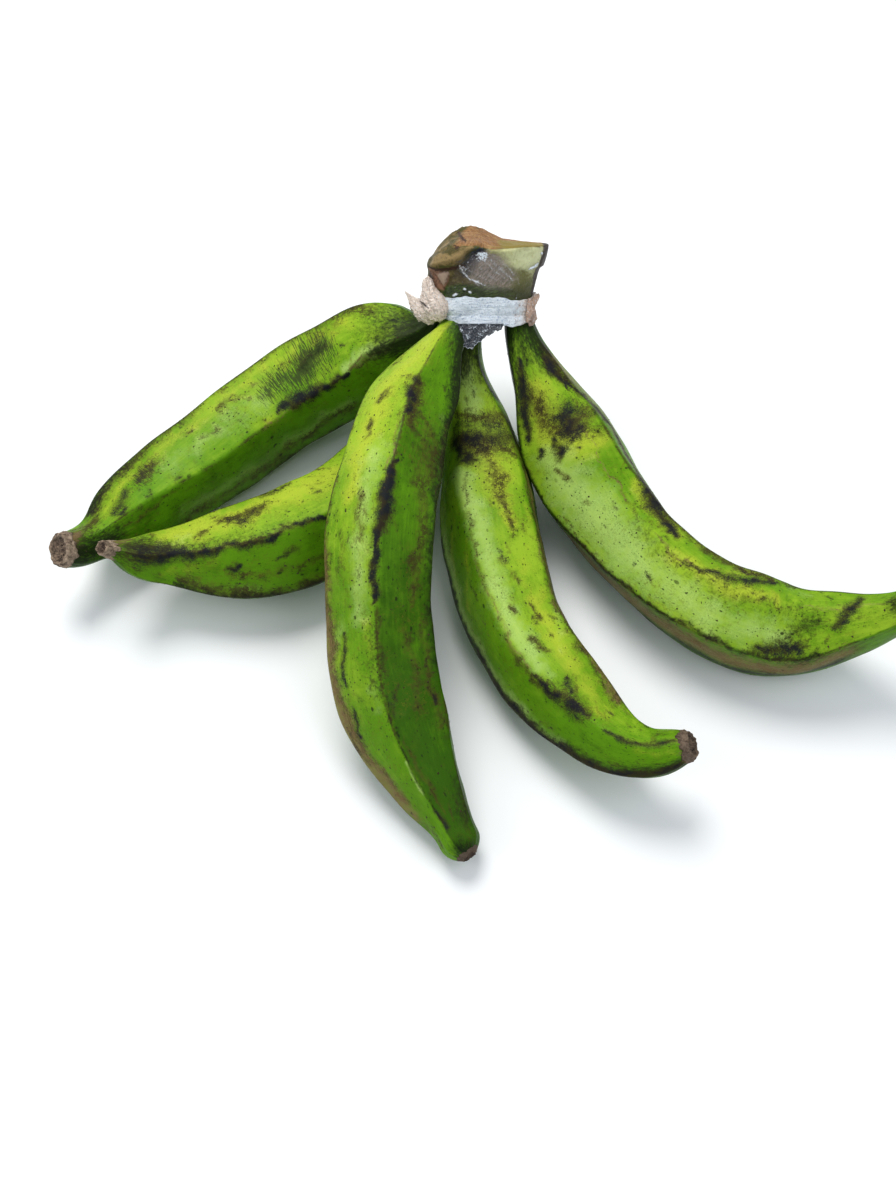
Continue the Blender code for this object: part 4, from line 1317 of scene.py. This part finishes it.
def makeCrownMaterial(settings):
    n = Nodes("crown_skin")
    c = settings["colours"]
    place = n.place()
    blotches = n.noise(place, 230.0, detail=6.0, roughness=0.68, distortion=0.4)
    grain = n.noise(place, 900.0, detail=4.0, roughness=0.75)
    around = n.attribute("crownTurn", vector=True)
    flat = n.attribute("crownPlace", vector=True)
    fibres = n.noise(n.mapping(around, scale=(1.0, 0.08, 1.0)), 22.0, detail=4.0, roughness=0.6)
    topFibres = n.noise(n.mapping(around, scale=(1.0, 0.06, 0.2)), 46.0, detail=3.0, roughness=0.65)
    slanted = n.mapping(n.mapping(flat, turn=48.0), scale=(1.0, 0.10, 1.0))
    streaks = n.noise(slanted, 26.0, detail=4.0, roughness=0.6)
    level = n.mapping(n.mapping(flat, turn=70.0), scale=(1.0, 0.12, 1.0))
    bandStreaks = n.noise(level, 20.0, detail=4.0, roughness=0.6)

    colour = n.mix(n.ramp(blotches, 0.42, 0.62), c["skin"], c["skinLight"])
    colour = n.mix(n.ramp(fibres, 0.48, 0.66), colour, c["faceLow"], most=0.45)

    # the face is painted lighter towards its top and darker towards its bottom: painted light and shade in
    # its hollow
    upwardLight = n.attribute("upwardLight")
    lit = n.math("ADD", upwardLight, n.math("MULTIPLY_ADD", blotches, 0.5, -0.25), clamp=True)
    face = n.mix(lit, c["faceLow"], c["face"])
    face = n.mix(n.ramp(streaks, 0.50, 0.66), face, c["faceLow"], most=0.35)
    colour = n.cover(colour, "face", blotches, 0.6, 0.2, 0.9, face)
    # the pale tissue is painted brighter towards the right: painted light
    cream = n.mix(n.attribute("rightward"), c["creamDull"], c["cream"])
    cream = n.mix(n.ramp(blotches, 0.50, 0.68), cream, c["creamDull"], most=0.45)
    cream = n.mix(n.ramp(fibres, 0.52, 0.70), cream, c["face"], most=0.30)
    colour = n.cover(colour, "cream", blotches, 0.9, 0.0, 0.9, cream)
    veil = n.mix(n.ramp(streaks, 0.42, 0.60), c["veilDark"], c["veil"])
    colour = n.cover(colour, "veil", streaks, 1.2, 0.0, 1.1, veil)
    low = n.mix(n.ramp(blotches, 0.46, 0.66), c["lowOlive"], c["skinLight"])
    colour = n.cover(colour, "lowOlive", blotches, 0.6, 0.3, 0.8, low)
    band = n.mix(n.ramp(bandStreaks, 0.48, 0.66), c["band"], c["bandLight"])
    band = n.mix(n.attribute("rightward"), band, c["faceLow"], most=0.75)
    colour = n.cover(colour, "band", blotches, 0.8, 0.1, 0.9, band)
    russet = n.mix(n.ramp(blotches, 0.44, 0.58), c["russet"], c["russetDark"])
    colour = n.cover(colour, "russet", blotches, 0.5, 0.25, 0.8, russet)
    colour = n.cover(colour, "shard", blotches, 1.4, 0.15, 1.0, c["shard"])

    cut = n.mix(n.ramp(topFibres, 0.42, 0.60), c["cut"], c["cutRed"])
    cut = n.mix(n.ramp(blotches, 0.50, 0.66), cut, c["cutLight"], most=0.7)
    cut = n.mix(n.ramp(grain, 0.50, 0.64), cut, c["russetDark"], most=0.35)
    cut = n.mix(n.broken(n.attribute("strip"), blotches, 0.7, 0.3, 0.8), cut, c["strip"])
    colour = n.cover(colour, "cut", blotches, 1.0, 0.25, 0.85, cut)
    mound = n.mix(n.broken(n.attribute("golden"), blotches, 1.2, 0.25, 0.85), c["mound"], c["golden"])
    mound = n.mix(n.ramp(grain, 0.50, 0.66), mound, c["russetDark"], most=0.55)
    colour = n.cover(colour, "mound", blotches, 1.0, 0.2, 0.8, mound)
    # the hollow is painted near-black navy as painted shade, with lighter blue streaks as painted reflection
    # in the film over it
    shadedRecess = n.mix(n.ramp(streaks, 0.48, 0.68), c["shadedRecess"], c["recessLight"])
    colour = n.cover(colour, "shadedRecess", streaks, 1.0, 0.15, 0.95, shadedRecess)
    colour = n.cover(colour, "lines", grain, 0.8, 0.20, 0.70, c["russetDark"])
    colour = n.cover(colour, "edge", blotches, 1.0, 0.15, 0.80, c["edge"])
    n.feed(n.shader.inputs["Base Color"], colour)

    wet = n.math("MULTIPLY", n.attribute("cream"), -0.20)
    rough = n.math("MULTIPLY_ADD", grain, 0.30, n.math("ADD", wet, 0.40), clamp=True)
    n.feed(n.shader.inputs["Roughness"], rough)
    n.shader.inputs["Specular IOR Level"].default_value = 0.18
    relief = n.math("MULTIPLY_ADD", grain, 0.40, n.math("MULTIPLY", blotches, 0.8))
    relief = n.math("MULTIPLY_ADD", topFibres, 0.5, relief)
    n.bump(relief, 0.8, 0.9)
    return n.material


def makeCrown(settings):
    sides = settings["sides"]
    angles = np.linspace(0.0, 2 * math.pi, sides, endpoint=False)
    rimRadius = crownRadius(angles, np.full(sides, 28.0), settings)
    drop = 0.9 - 0.6 * np.clip(np.cos(angles), 0.0, 1.0)**4
    rims = crownTop(rimRadius * np.cos(angles), rimRadius * np.sin(angles), settings) - drop
    wall = np.linspace(0.0, 1.0, settings["wallRings"])[:, None]
    height = settings["foot"] + (rims[None, :] - settings["foot"]) * wall
    angle = np.broadcast_to(angles[None, :], height.shape)
    radius = crownRadius(angle, height, settings)
    side = radius * np.cos(angle)
    rolled = np.clip((wall - 0.94) / 0.06, 0.0, 1.0)**2 * drop
    relief = crownRelief(angle, side, height)
    plain = np.stack([side, radius * np.sin(angle), height], axis=-1)
    rough = 0.22 * crumple(plain, 5, 6.0, count=6)
    behind = np.clip(1.0 - 2.0 * np.sin(angle), 0.0, 1.0)
    grooves = 0.30 * np.sin(np.degrees(angle) / 9.0 + 0.08 * height) * behind
    fade = np.clip((1.02 - wall) * 5.0, 0.0, 1.0) * np.clip(height / 8.0, 0.0, 1.0)
    radius = radius + (relief + crownStep(angle, height)) * fade + rough + grooves - rolled
    wallPoints = neckPoints(radius * np.cos(angle), radius * np.sin(angle), height)

    shares = np.linspace(0.97, 0.03, settings["topRings"])[:, None]
    topRadius = radius[-1][None, :] * shares
    topSide = topRadius * np.cos(angles)[None, :]
    topFront = topRadius * np.sin(angles)[None, :]
    topHeight = crownTop(topSide, topFront, settings) - 0.25
    soft = np.clip((1.0 - shares) / 0.10, 0.0, 1.0)
    topHeight = topHeight - 0.5 * drop[None, :] * (1.0 - soft)**2
    ribs = np.sin(np.arctan2(topFront + 4.0, topSide + 9.0) * 34.0) * 0.12 * soft
    dents = flatStrokes(topSide, topHeight, crownLines) * np.clip(topFront / 8.0, 0.0, 1.0)
    crumpled = crumple(np.stack([topSide, topFront, topHeight], axis=-1), 8, 9.0, count=6)
    topHeight = topHeight + ribs + 0.34 * crumpled - 0.5 * dents
    topPoints = neckPoints(topSide, topFront, topHeight)

    allSide = np.vstack([side, topSide])
    allFront = np.vstack([radius * np.sin(angle), topFront])
    allHeight = np.vstack([height, topHeight])
    top = np.vstack([np.broadcast_to(wall, height.shape), np.broadcast_to(2.0 - shares, topSide.shape)])
    facing = np.vstack([np.clip(np.sin(angle) * 2.5, 0.0, 1.0), np.ones(topSide.shape)])
    onTop = np.clip((top - 0.985) / 0.02, 0.0, 1.0)
    fields = {}
    for name in crownZones:
        fields[name] = crownZone(name, allSide, allHeight) * facing * (1.0 - onTop)
    lobe = onTop * np.clip((-6.0 - allSide - 0.25 * allFront) / 5.0, 0.0, 1.0)
    fields["mound"] = np.maximum(fields["mound"], lobe)
    fields["golden"] = np.maximum(fields["golden"], lobe * 0.45)
    fields["cut"] = onTop * np.clip((allSide + 0.25 * allFront + 11.0) / 5.0, 0.0, 1.0)
    ahead = np.clip((allFront + 4.0) / 8.0, 0.0, 1.0)
    fields["strip"] = onTop * np.clip((allSide - 2.0) / 8.0, 0.0, 1.0) * ahead
    fields["lines"] = flatStrokes(allSide, allHeight, crownLines) * facing
    rim = np.exp(-((top - 0.985) / 0.022)**2)
    backRim = rim * np.clip(0.65 - allFront / 26.0, 0.0, 1.0)
    width = 1.0 + 1.5 * np.clip((allHeight - 8.0) / 20.0, 0.0, 1.0)
    reach = crownRadius(np.zeros(1), allHeight, settings)
    rightEdge = np.clip((allSide - reach + width + 0.6) / 0.9, 0.0, 1.0)
    rightEdge = rightEdge * np.clip((allHeight - 6.0) / 3.0, 0.0, 1.0)
    fields["edge"] = np.maximum(backRim, rightEdge)
    # how much painted light the crown's face gets, rising with height
    fields["upwardLight"] = np.clip((allHeight - 8.0) / 15.0, 0.0, 1.0)
    fields["rightward"] = np.clip((allSide - 3.0) / 15.0, 0.0, 1.0)

    turn = np.vstack([angle, np.broadcast_to(angles[None, :], topSide.shape)])
    crownTurn = np.stack([1.8 * np.cos(turn), allHeight / 10.0, 1.8 * np.sin(turn)], axis=-1).reshape(-1, 3)
    crownPlace = np.stack([allSide, allHeight, allFront], axis=-1).reshape(-1, 3) / 10.0
    points = np.vstack([wallPoints.reshape(-1, 3), topPoints.reshape(-1, 3)])
    summit = float(topHeight[-1].mean())
    ends = np.vstack([neckPoints(0.0, 0.0, settings["foot"]), neckPoints(0.0, 0.0, summit)])
    points = np.vstack([points, ends]) + handShift
    rings = settings["wallRings"] + settings["topRings"]
    faces = gridFaces(rings, sides, len(points) - 2, len(points) - 1)
    attributes = []
    for key, values in fields.items():
        attributes.append((key, np.concatenate([values.ravel(), [0.0, values[-1].mean()]])))
    attributes.append(("crownTurn", np.vstack([crownTurn, [crownTurn[0], crownTurn[-1]]])))
    attributes.append(("crownPlace", np.vstack([crownPlace, [crownPlace[0], crownPlace[-1]]])))
    piece = linkPiece("crown_cut", points, faces, makeCrownMaterial(settings), attributes)
    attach(piece, "root")
    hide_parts("crown")
    print("made the crown")


# ---- cling film round the neck

filmSettings = {
    "sides": 440,
    "outerRings": 60,
    "innerRings": 10,
    "wall": 0.9,
    "bulge": 0.9,
    # the band's edges: height, then humps by angle, width in degrees and height
    "lowerEdge": (-4.8, [(160, 34, 4.0), (215, 40, 1.4), (20, 25, 1.2)]),
    "upperEdge": (7.7, [(30, 26, -1.4), (2, 9, 1.2), (150, 20, -0.4)]),
    "tubeRings": 90,
    "tubeSides": 84,
    "warmth": {"film_bunch_left": 1.15, "film_bunch_right": 1.7},
    "flap": {
        "grid": (70, 110),
        "top": -3.2,
        "edgeX": (0.0, 0.12, 0.25, 0.38, 0.55, 0.75, 0.9, 1.0),
        "edge": (-9.6, -10.8, -13.4, -12.6, -10.0, -7.6, -6.2, -5.4),
        "thickness": 0.12,
    },
    "stretched": {
        "grid": (120, 150),
        # side and height of its lower and upper corners
        "left": ((-16.0, 6.6), (-9.4, 22.2)),
        "right": ((19.6, 6.4), (26.6, 28.0)),
        "thickness": 0.10,
    },
    "colours": {
        "white": (0.84, 0.92, 1.0),
        "shade": (0.33, 0.43, 0.60),
        "beige": (0.84, 0.71, 0.61),
        "beigeShade": (0.30, 0.20, 0.14),
        "warm": (0.50, 0.28, 0.18),
        "pit": (0.050, 0.030, 0.022),
        # near-black blue of the hanging flap: painted shade from the gap behind it
        "flap": (0.012, 0.018, 0.030),
        "veil": (0.45, 0.38, 0.34),
    },
}

# bundles of crumpled film: side, front and height from the neck, half width, flattening, seed
filmBundles = {
    "film_bunch_left": [
        ([(-22.4, 8, 16), (-22.4, 10, 11.5), (-20.6, 12.6, 6.5), (-18.2, 14.4, 1.5), (-17.4, 14.4, -2.8)],
         (0.8, 3.0, 4.6, 4.4, 1.4), 0.42, 61),
        ([(-32.4, 9, 9.8), (-30.0, 10, 7.0), (-26.8, 11.6, 3.8), (-23.0, 13, 0.4), (-20.2, 13.4, -3.6)],
         (0.3, 1.3, 3.2, 4.0, 1.3), 0.42, 67),
        ([(-27.6, 12, 3.6), (-24.4, 13.6, 1.8), (-21.0, 14.8, -0.6), (-18.4, 15.2, -2.2)],
         (0.5, 1.5, 1.6, 0.6), 0.7, 69),
    ],
    "film_bunch_right": [
        ([(24.8, 6, 8.6), (23.4, 7.4, 6.2), (21.6, 8.6, 3.4), (21.4, 9, 0.4), (21.8, 9, -2.4),
          (20.6, 9.4, -5.0)],
         (0.4, 1.5, 1.5, 2.1, 1.7, 0.5), 0.6, 71),
        ([(20.2, 10.8, 7.0), (20.6, 11.2, 2.0), (19.8, 11.4, -3.4)],
         (0.4, 1.3, 0.6), 0.6, 73),
    ],
}
# dark pits in the left bundle, painted shade where the film folds into a hole: strength, then side, height,
# half width
filmShadowPits = [(1.0, [(-25.8, 5.9, 0.5), (-24.2, 4.9, 0.9), (-22.4, 3.4, 0.6)])]

# folds in the film that is stretched over the crown, painted bright as highlights, and a few painted glints:
# strength, then side, height, half width
filmFoldHighlights = [
    (0.80, [(-9.8, 21.6, 0.7), (-8.8, 19.8, 1.3), (-6.8, 17.0, 1.1), (-4.8, 15.2, 0.7)]),
    (0.75, [(-4.8, 15.0, 0.7), (-3.0, 14.6, 1.2), (-1.0, 13.6, 0.9), (1.6, 12.6, 0.6)]),
    (0.60, [(-9.4, 21.0, 0.4), (-4.6, 18.4, 0.4), (0.2, 15.8, 0.5), (3.2, 14.2, 0.4)]),
    (0.55, [(-6.6, 16.4, 0.4), (-2.6, 13.6, 0.7), (-0.6, 12.4, 0.4)]),
    (0.50, [(2.6, 24.4, 0.6), (8.0, 19.4, 1.3), (13.4, 14.6, 0.7)]),
    (0.45, [(0.6, 23.4, 0.6), (5.0, 19.0, 1.0), (9.6, 15.4, 0.6)]),
    (0.42, [(-1.0, 20.2, 0.5), (3.0, 16.8, 0.9), (7.0, 14.0, 0.5)]),
    (0.40, [(4.6, 25.2, 0.6), (11.0, 20.2, 1.0), (15.4, 14.8, 0.6)]),
    (1.60, [(-11.4, 8.4, 0.9), (-10.4, 8.8, 0.9)]),
    (1.60, [(-7.0, 11.2, 0.7), (-6.6, 11.0, 0.7)]),
    (1.60, [(-4.7, 9.9, 0.8), (-4.4, 9.6, 0.7)]),
    (2.20, [(25.2, 25.6, 0.7), (25.2, 24.8, 0.7)]),
    (1.60, [(24.0, 21.6, 0.6), (23.0, 20.4, 1.0), (21.4, 19.6, 0.9), (20.2, 19.0, 0.5)]),
]


def nearAngle(angle, centre, width):
    return np.exp(-(turnBetween(np.degrees(angle), centre) / width)**2)


def makeFilmMaterial(settings):
    n = Nodes("clear_film")
    c = settings["colours"]
    place = n.place()
    fine = n.noise(place, 1700.0, detail=4.0, roughness=0.8)
    folds = n.noise(place, 620.0, detail=5.0, roughness=0.75, distortion=1.0)
    broad = n.noise(place, 180.0, detail=3.0, roughness=0.6)
    drawn = n.mapping(n.attribute("filmPlace", vector=True), scale=(0.14, 1.0, 1.0))
    pulled = n.noise(drawn, 11.0, detail=4.0, roughness=0.6)
    mottle = n.math("ADD", n.math("MULTIPLY", folds, 0.4), n.math("MULTIPLY", fine, 0.36))
    mottle = n.math("MULTIPLY_ADD", pulled, 0.24, mottle)
    shaded = n.math("MULTIPLY", n.ramp(mottle, 0.49, 0.58), n.ramp(broad, 0.38, 0.60, 0.25, 1.0))
    white = n.mix(shaded, c["white"], c["shade"])
    beige = n.mix(n.ramp(n.attribute("beige"), 1.0, 2.0), c["beige"], c["warm"])
    beige = n.mix(n.ramp(mottle, 0.47, 0.60), beige, c["beigeShade"])
    # fine white specks painted on as highlights
    beige = n.mix(n.ramp(fine, 0.56, 0.64), beige, c["white"], most=0.8)
    # dark pits painted as shade inside the folds
    beige = n.mix(n.broken(n.attribute("pit"), fine, 0.5, 0.2, 0.7), beige, c["pit"])
    colour = n.mix(n.broken(n.attribute("beige"), folds, 0.9, 0.1, 1.0), white, beige)
    n.feed(n.shader.inputs["Base Color"], colour)
    n.feed(n.shader.inputs["Roughness"], n.math("MULTIPLY_ADD", fine, 0.4, 0.04))
    n.shader.inputs["Coat Weight"].default_value = 0.5
    n.shader.inputs["Coat Roughness"].default_value = 0.15
    n.bump(n.math("MULTIPLY_ADD", fine, 0.5, n.math("MULTIPLY_ADD", pulled, 0.8, folds)), 1.0, 1.0)
    return n.material


def makeThinFilmMaterial(settings, name, colour, clear, cloudy):
    # film thin enough to see through: clear and cloudy are its alpha away from folds and glints, which are
    # painted white as highlights
    n = Nodes(name)
    c = settings["colours"]
    place = n.place()
    fine = n.noise(place, 1500.0, detail=4.0, roughness=0.8)
    folds = n.noise(place, 520.0, detail=5.0, roughness=0.75, distortion=1.0)
    clustered = n.math("ADD", n.math("MULTIPLY", fine, 0.6), n.math("MULTIPLY", folds, 0.4))
    painted = n.broken(n.attribute("foldHighlight"), clustered, 1.8, 0.15, 1.25)
    glints = n.ramp(n.math("MULTIPLY_ADD", n.attribute("glints"), 0.16, clustered), 0.605, 0.67)
    bright = n.math("MAXIMUM", painted, glints)
    haze = n.math("MULTIPLY", n.attribute("haze"), n.ramp(folds, 0.35, 0.65, 0.5, 1.0))
    n.feed(n.shader.inputs["Base Color"], n.mix(bright, c[colour], c["white"]))
    alpha = n.math("MULTIPLY_ADD", haze, cloudy, clear)
    n.feed(n.shader.inputs["Alpha"], n.math("MAXIMUM", alpha, n.math("MULTIPLY", bright, 0.9), clamp=True))
    n.feed(n.shader.inputs["Roughness"], n.math("MULTIPLY_ADD", fine, 0.35, 0.05))
    n.shader.inputs["Specular IOR Level"].default_value = 0.6
    n.bump(n.math("MULTIPLY_ADD", fine, 0.4, folds), 0.7, 0.9)
    return n.material


def filmRadius(angle, height):
    # snug on the crown, and wider below it where the stalks spread
    spread = 0.30 + 0.40 * np.clip(-np.sin(angle), 0.0, 1.0) + 0.22 * np.abs(np.cos(angle))
    onCrown = crownRadius(angle, np.maximum(height, 0.0), crownSettings)
    return onCrown + 0.35 + np.maximum(-height, 0.0) * spread


def wavyEdge(angles, wave, edge):
    height, humps = edge
    height = height + wave
    for centre, width, rise in humps:
        height = height + rise * nearAngle(angles, centre, width)
    return height


def makeBand(settings, material):
    sides = settings["sides"]
    angles = np.linspace(0.0, 2 * math.pi, sides, endpoint=False)
    wave = 0.30 * np.sin(7 * angles) + 0.22 * np.sin(13 * angles + 1.0) + 0.14 * np.sin(29 * angles)
    lower = wavyEdge(angles, wave, settings["lowerEdge"])
    upper = wavyEdge(angles, 0.8 * wave, settings["upperEdge"])
    inner = np.linspace(0.0, 1.0, settings["innerRings"])
    outer = 1.0 - (np.arange(settings["outerRings"]) + 0.5) / settings["outerRings"]
    share = np.concatenate([inner, outer])[:, None]
    outside = np.concatenate([np.zeros(len(inner)), np.ones(len(outer))])[:, None]
    height = lower[None, :] + share * (upper - lower)[None, :]
    angle = np.broadcast_to(angles[None, :], height.shape)
    radius = filmRadius(angle, height)
    place = np.stack([radius * np.cos(angle), radius * np.sin(angle), height], axis=-1)
    folded = crumple(place * np.array([1.0, 1.0, 0.7]), 31, 3.0, count=7, octaves=4)
    broad = crumple(place, 33, 13.0, count=4, octaves=1)
    swell = np.clip(np.sin(math.pi * share), 0.0, 1.0)**0.6
    radius = radius + outside * (0.25 + swell * (settings["wall"] + settings["bulge"] * 0.5 * (1.0 + broad)))
    radius = radius + outside * 0.26 * folded * (0.35 + 0.65 * swell)
    radius = radius + nearAngle(angle, 355, 8) * outside * share
    points = neckPoints(radius * np.cos(angle), radius * np.sin(angle), height).reshape(-1, 3) + handShift
    faces = gridFaces(len(share), sides)
    last = (len(share) - 1) * sides
    for j in range(sides):
        k = (j + 1) % sides
        faces.append((last + j, last + k, k, j))
    beige = np.maximum(nearAngle(angle, 160, 20), 1.5 * nearAngle(angle, 8, 26))
    place = np.stack([radius * angle, height, np.zeros(height.shape)], axis=-1).reshape(-1, 3) / 10.0
    attributes = [("beige", beige.ravel()), ("pit", np.zeros(len(points))), ("filmPlace", place)]
    piece = linkPiece("film_band", points, faces, material, attributes)
    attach(piece, "root")
    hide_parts("film_wrap")
    return piece


def makeBundle(name, bundles, settings, material):
    # flattened tubes of film with sharp folds
    rings = settings["tubeRings"]
    sides = settings["tubeSides"]
    turn = np.linspace(0.0, 2 * math.pi, sides, endpoint=False)
    share = np.linspace(0.0, 1.0, rings)
    points = []
    places = []
    faces = []
    for stations, widths, flattening, seed in bundles:
        rows = [(*station, width) for station, width in zip(stations, widths)]
        route = smoothRoute(rows, rings)
        centres = route[:, :3]
        _, uppers, crosses = carriedFrames(centres, (0.0, 1.0, 0.0))
        closing = np.minimum(1.0, np.minimum(share, 1.0 - share) / 0.05 + 0.12)[:, None, None]
        outward = np.cos(turn)[None, :, None] * uppers[:, None, :] * flattening
        outward = outward + np.sin(turn)[None, :, None] * crosses[:, None, :]
        tube = centres[:, None, :] + outward * route[:, 3][:, None, None] * closing
        long = np.broadcast_to(np.linspace(0.0, 18.0, rings)[:, None] * 0.30, (rings, sides))
        wide = route[:, 3][:, None]
        place = np.stack([wide * np.cos(turn)[None, :], wide * np.sin(turn)[None, :], long], axis=-1)
        folded = crumple(place, seed, 3.4, count=6, octaves=3)
        folded = folded + 0.4 * crumple(tube, seed + 1, 2.0, count=6, octaves=2)
        folded = folded + 0.34 * crumple(tube, seed + 2, 1.1, count=5, octaves=2)
        fullness = np.minimum(route[:, 3] / 2.5, 1.0)[:, None, None]
        tube = tube + outward * (0.95 * folded[..., None]) * closing * fullness
        flat = np.vstack([tube.reshape(-1, 3), tube[0].mean(axis=0), tube[-1].mean(axis=0)])
        start = sum(len(part) for part in points)
        count = len(flat)
        grid = gridFaces(rings, sides, count - 2, count - 1)
        faces.extend(tuple(corner + start for corner in face) for face in grid)
        points.append(flat)
        steps = np.broadcast_to(np.linspace(0.0, 22.0, rings)[:, None], (rings, sides))
        place = np.stack([steps, wide * np.cos(turn), wide * np.sin(turn)], axis=-1).reshape(-1, 3) / 10.0
        places.append(np.vstack([place, place[0], place[-1]]) + seed)
    flat = np.vstack(points)
    points = neckPoints(flat[:, 0], flat[:, 1], flat[:, 2]) + handShift
    pits = flatStrokes(flat[:, 0], flat[:, 2], filmShadowPits)
    warmth = np.full(len(points), settings["warmth"][name])
    attributes = [("beige", warmth), ("pit", pits), ("filmPlace", np.vstack(places))]
    piece = linkPiece(name, points, faces, material, attributes)
    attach(piece, "root")
    return piece


def linkSheet(name, grid, thickness, material, attributes):
    # a thin sheet from a grid of points, with both faces and its border closed
    rows, columns = grid.shape[:2]
    along = np.gradient(grid, axis=0)
    across = np.gradient(grid, axis=1)
    normals = np.cross(across, along)
    normals /= np.maximum(np.linalg.norm(normals, axis=-1), 1e-9)[..., None]
    offset = normals * thickness / 2
    points = np.vstack([(grid + offset).reshape(-1, 3), (grid - offset).reshape(-1, 3)])
    count = rows * columns
    faces = []
    for i in range(rows - 1):
        for j in range(columns - 1):
            a = i * columns + j
            faces.append((a, a + 1, a + columns + 1, a + columns))
            faces.append((count + a, count + a + columns, count + a + columns + 1, count + a + 1))
    border = [(0, j) for j in range(columns)] + [(i, columns - 1) for i in range(1, rows)]
    border += [(rows - 1, j) for j in range(columns - 2, -1, -1)] + [(i, 0) for i in range(rows - 2, 0, -1)]
    ids = [i * columns + j for i, j in border]
    for a, b in zip(ids, ids[1:] + ids[:1]):
        faces.append((b, a, count + a, count + b))
    doubled = [(key, np.concatenate([values.ravel(), values.ravel()])) for key, values in attributes]
    return linkPiece(name, points, faces, material, doubled)


def makeFlap(settings):
    # clear film that hangs from the band's lower edge, in front of the gap between two stalks; its
    # near-black colour is painted shade from the gap behind, and its folds, rims and glints are painted
    # highlights
    flap = settings["flap"]
    rows, columns = flap["grid"]
    across = np.linspace(0.0, 1.0, columns)[None, :]
    down = np.linspace(0.0, 1.0, rows)[:, None]
    top = flap["top"]
    bottom = np.interp(across, flap["edgeX"], flap["edge"])
    bottom = bottom + 0.35 * np.sin(across * 31.0) + 0.22 * np.sin(across * 67.0)
    side = -10.8 + 20.4 * across + (0.2 - 1.2 * across) * down
    height = top + (bottom - top) * down
    forward = 15.9 + np.maximum(-4.0 - height, 0.0) * (0.62 - 0.025 * (side + 10.0))
    place = np.stack([side, forward, height], axis=-1)
    folded = crumple(place, 83, 4.0, count=6, octaves=3)
    forward = forward + 0.55 * folded * (0.3 + 0.7 * down)
    grid = neckPoints(side, forward, height) + handShift
    foldHighlight = np.clip(folded - 0.35, 0.0, 1.0) * 1.4
    # its lower and left rims are painted bright as highlights
    rim = np.clip((down - 0.94) / 0.05, 0.0, 1.0) * 0.7 + np.clip((0.04 - across) / 0.04, 0.0, 1.0) * 0.6
    attributes = [
        ("foldHighlight", np.maximum(foldHighlight, rim)),
        ("glints", np.clip(0.35 + 0.6 * folded, 0.0, 1.0)),
        ("haze", np.ones(height.shape)),
    ]
    material = makeThinFilmMaterial(settings, "clear_film_flap", "flap", 0.55, 0.40)
    piece = linkSheet("film_flap", grid, flap["thickness"], material, attributes)
    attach(piece, "root")


def makeStretchedFilm(settings):
    # one clear layer drawn over the hollow in the crown and down to the band
    stretched = settings["stretched"]
    rows, columns = stretched["grid"]
    across = np.linspace(0.0, 1.0, columns)[None, :]
    up = np.linspace(0.0, 1.0, rows)[:, None]
    left, right = (
        [low + (high - low) * up for low, high in zip(*stretched[edge])] for edge in ("left", "right")
    )
    side = left[0] + (right[0] - left[0]) * across
    height = left[1] + (right[1] - left[1]) * across + 3.4 * np.sin(math.pi * across**0.55) * up
    crown = crownSettings
    crownRight, crownLeft, crownFront = (
        np.interp(height, crown["heights"], crown[key]) for key in ("right", "left", "front")
    )
    width = np.where(side > 0, crownRight, crownLeft)
    inside = 1.0 - np.minimum(np.abs(side / width), 0.98)**crown["boxiness"]
    forward = crownFront * inside**(1 / crown["boxiness"])
    angle = np.arctan2(forward, side)
    fade = np.clip(height / 8.0, 0.0, 1.0)
    relief = np.maximum(crownRelief(angle, side, height) * fade, -1.1)
    place = np.stack([side, forward, height], axis=-1)
    folds = flatStrokes(side, height, filmFoldHighlights)
    lift = 0.50 + relief + 0.14 * crumple(place, 91, 5.0, count=6, octaves=3) + 0.35 * folds
    grid = neckPoints(side + lift * side / np.hypot(side, forward) * 0.5, forward + lift, height) + handShift
    edge = np.minimum(np.minimum(across, 1.0 - across) * 30.0, np.minimum(up, 1.0 - up) * 18.0)
    edge = np.clip(edge, 0.0, 1.0)
    # painted glints: a dense cloud near the top of the hollow and fainter ones over the rest of it
    glintCloud = hump(side, height, (0.2, 24.6), (2.9, 2.3), 3.0)
    attributes = [
        ("foldHighlight", folds * edge),
        ("glints", np.maximum(glintCloud, 0.30 * crownZone("shadedRecess", side, height)) * edge),
        ("haze", crownZone("veil", side, height) * edge),
    ]
    material = makeThinFilmMaterial(settings, "clear_film_thin", "veil", 0.03, 0.34)
    piece = linkSheet("film_stretch", grid, stretched["thickness"], material, attributes)
    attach(piece, "root")


def makeFilm(settings):
    material = makeFilmMaterial(settings)
    band = makeBand(settings, material)
    bundles = [makeBundle(name, parts, settings, material) for name, parts in filmBundles.items()]
    makeFlap(settings)
    makeStretchedFilm(settings)
    print("made the film")


makeStage(stageSettings)
peelMaterial = makePeelMaterial()
fleckMaterial = makeFleckMaterial(fleckSettings)
fleckTree = makeFleckTree()
for fruitName, fruitSpec in fruits.items():
    fruitPiece = makeFruit(fruitName, fruitSpec, peelSettings, peelMaterial)
    makeFlecks(fruitPiece, fleckTree, fleckSettings, fleckMaterial, fruitSpec["seed"])
barkMaterial = makeBarkMaterial(endSettings)
for fruitName, endSpec in flowerEnds.items():
    makeFlowerEnd(fruitName, endSpec, endSettings, barkMaterial)
makeCrown(crownSettings)
makeFilm(filmSettings)
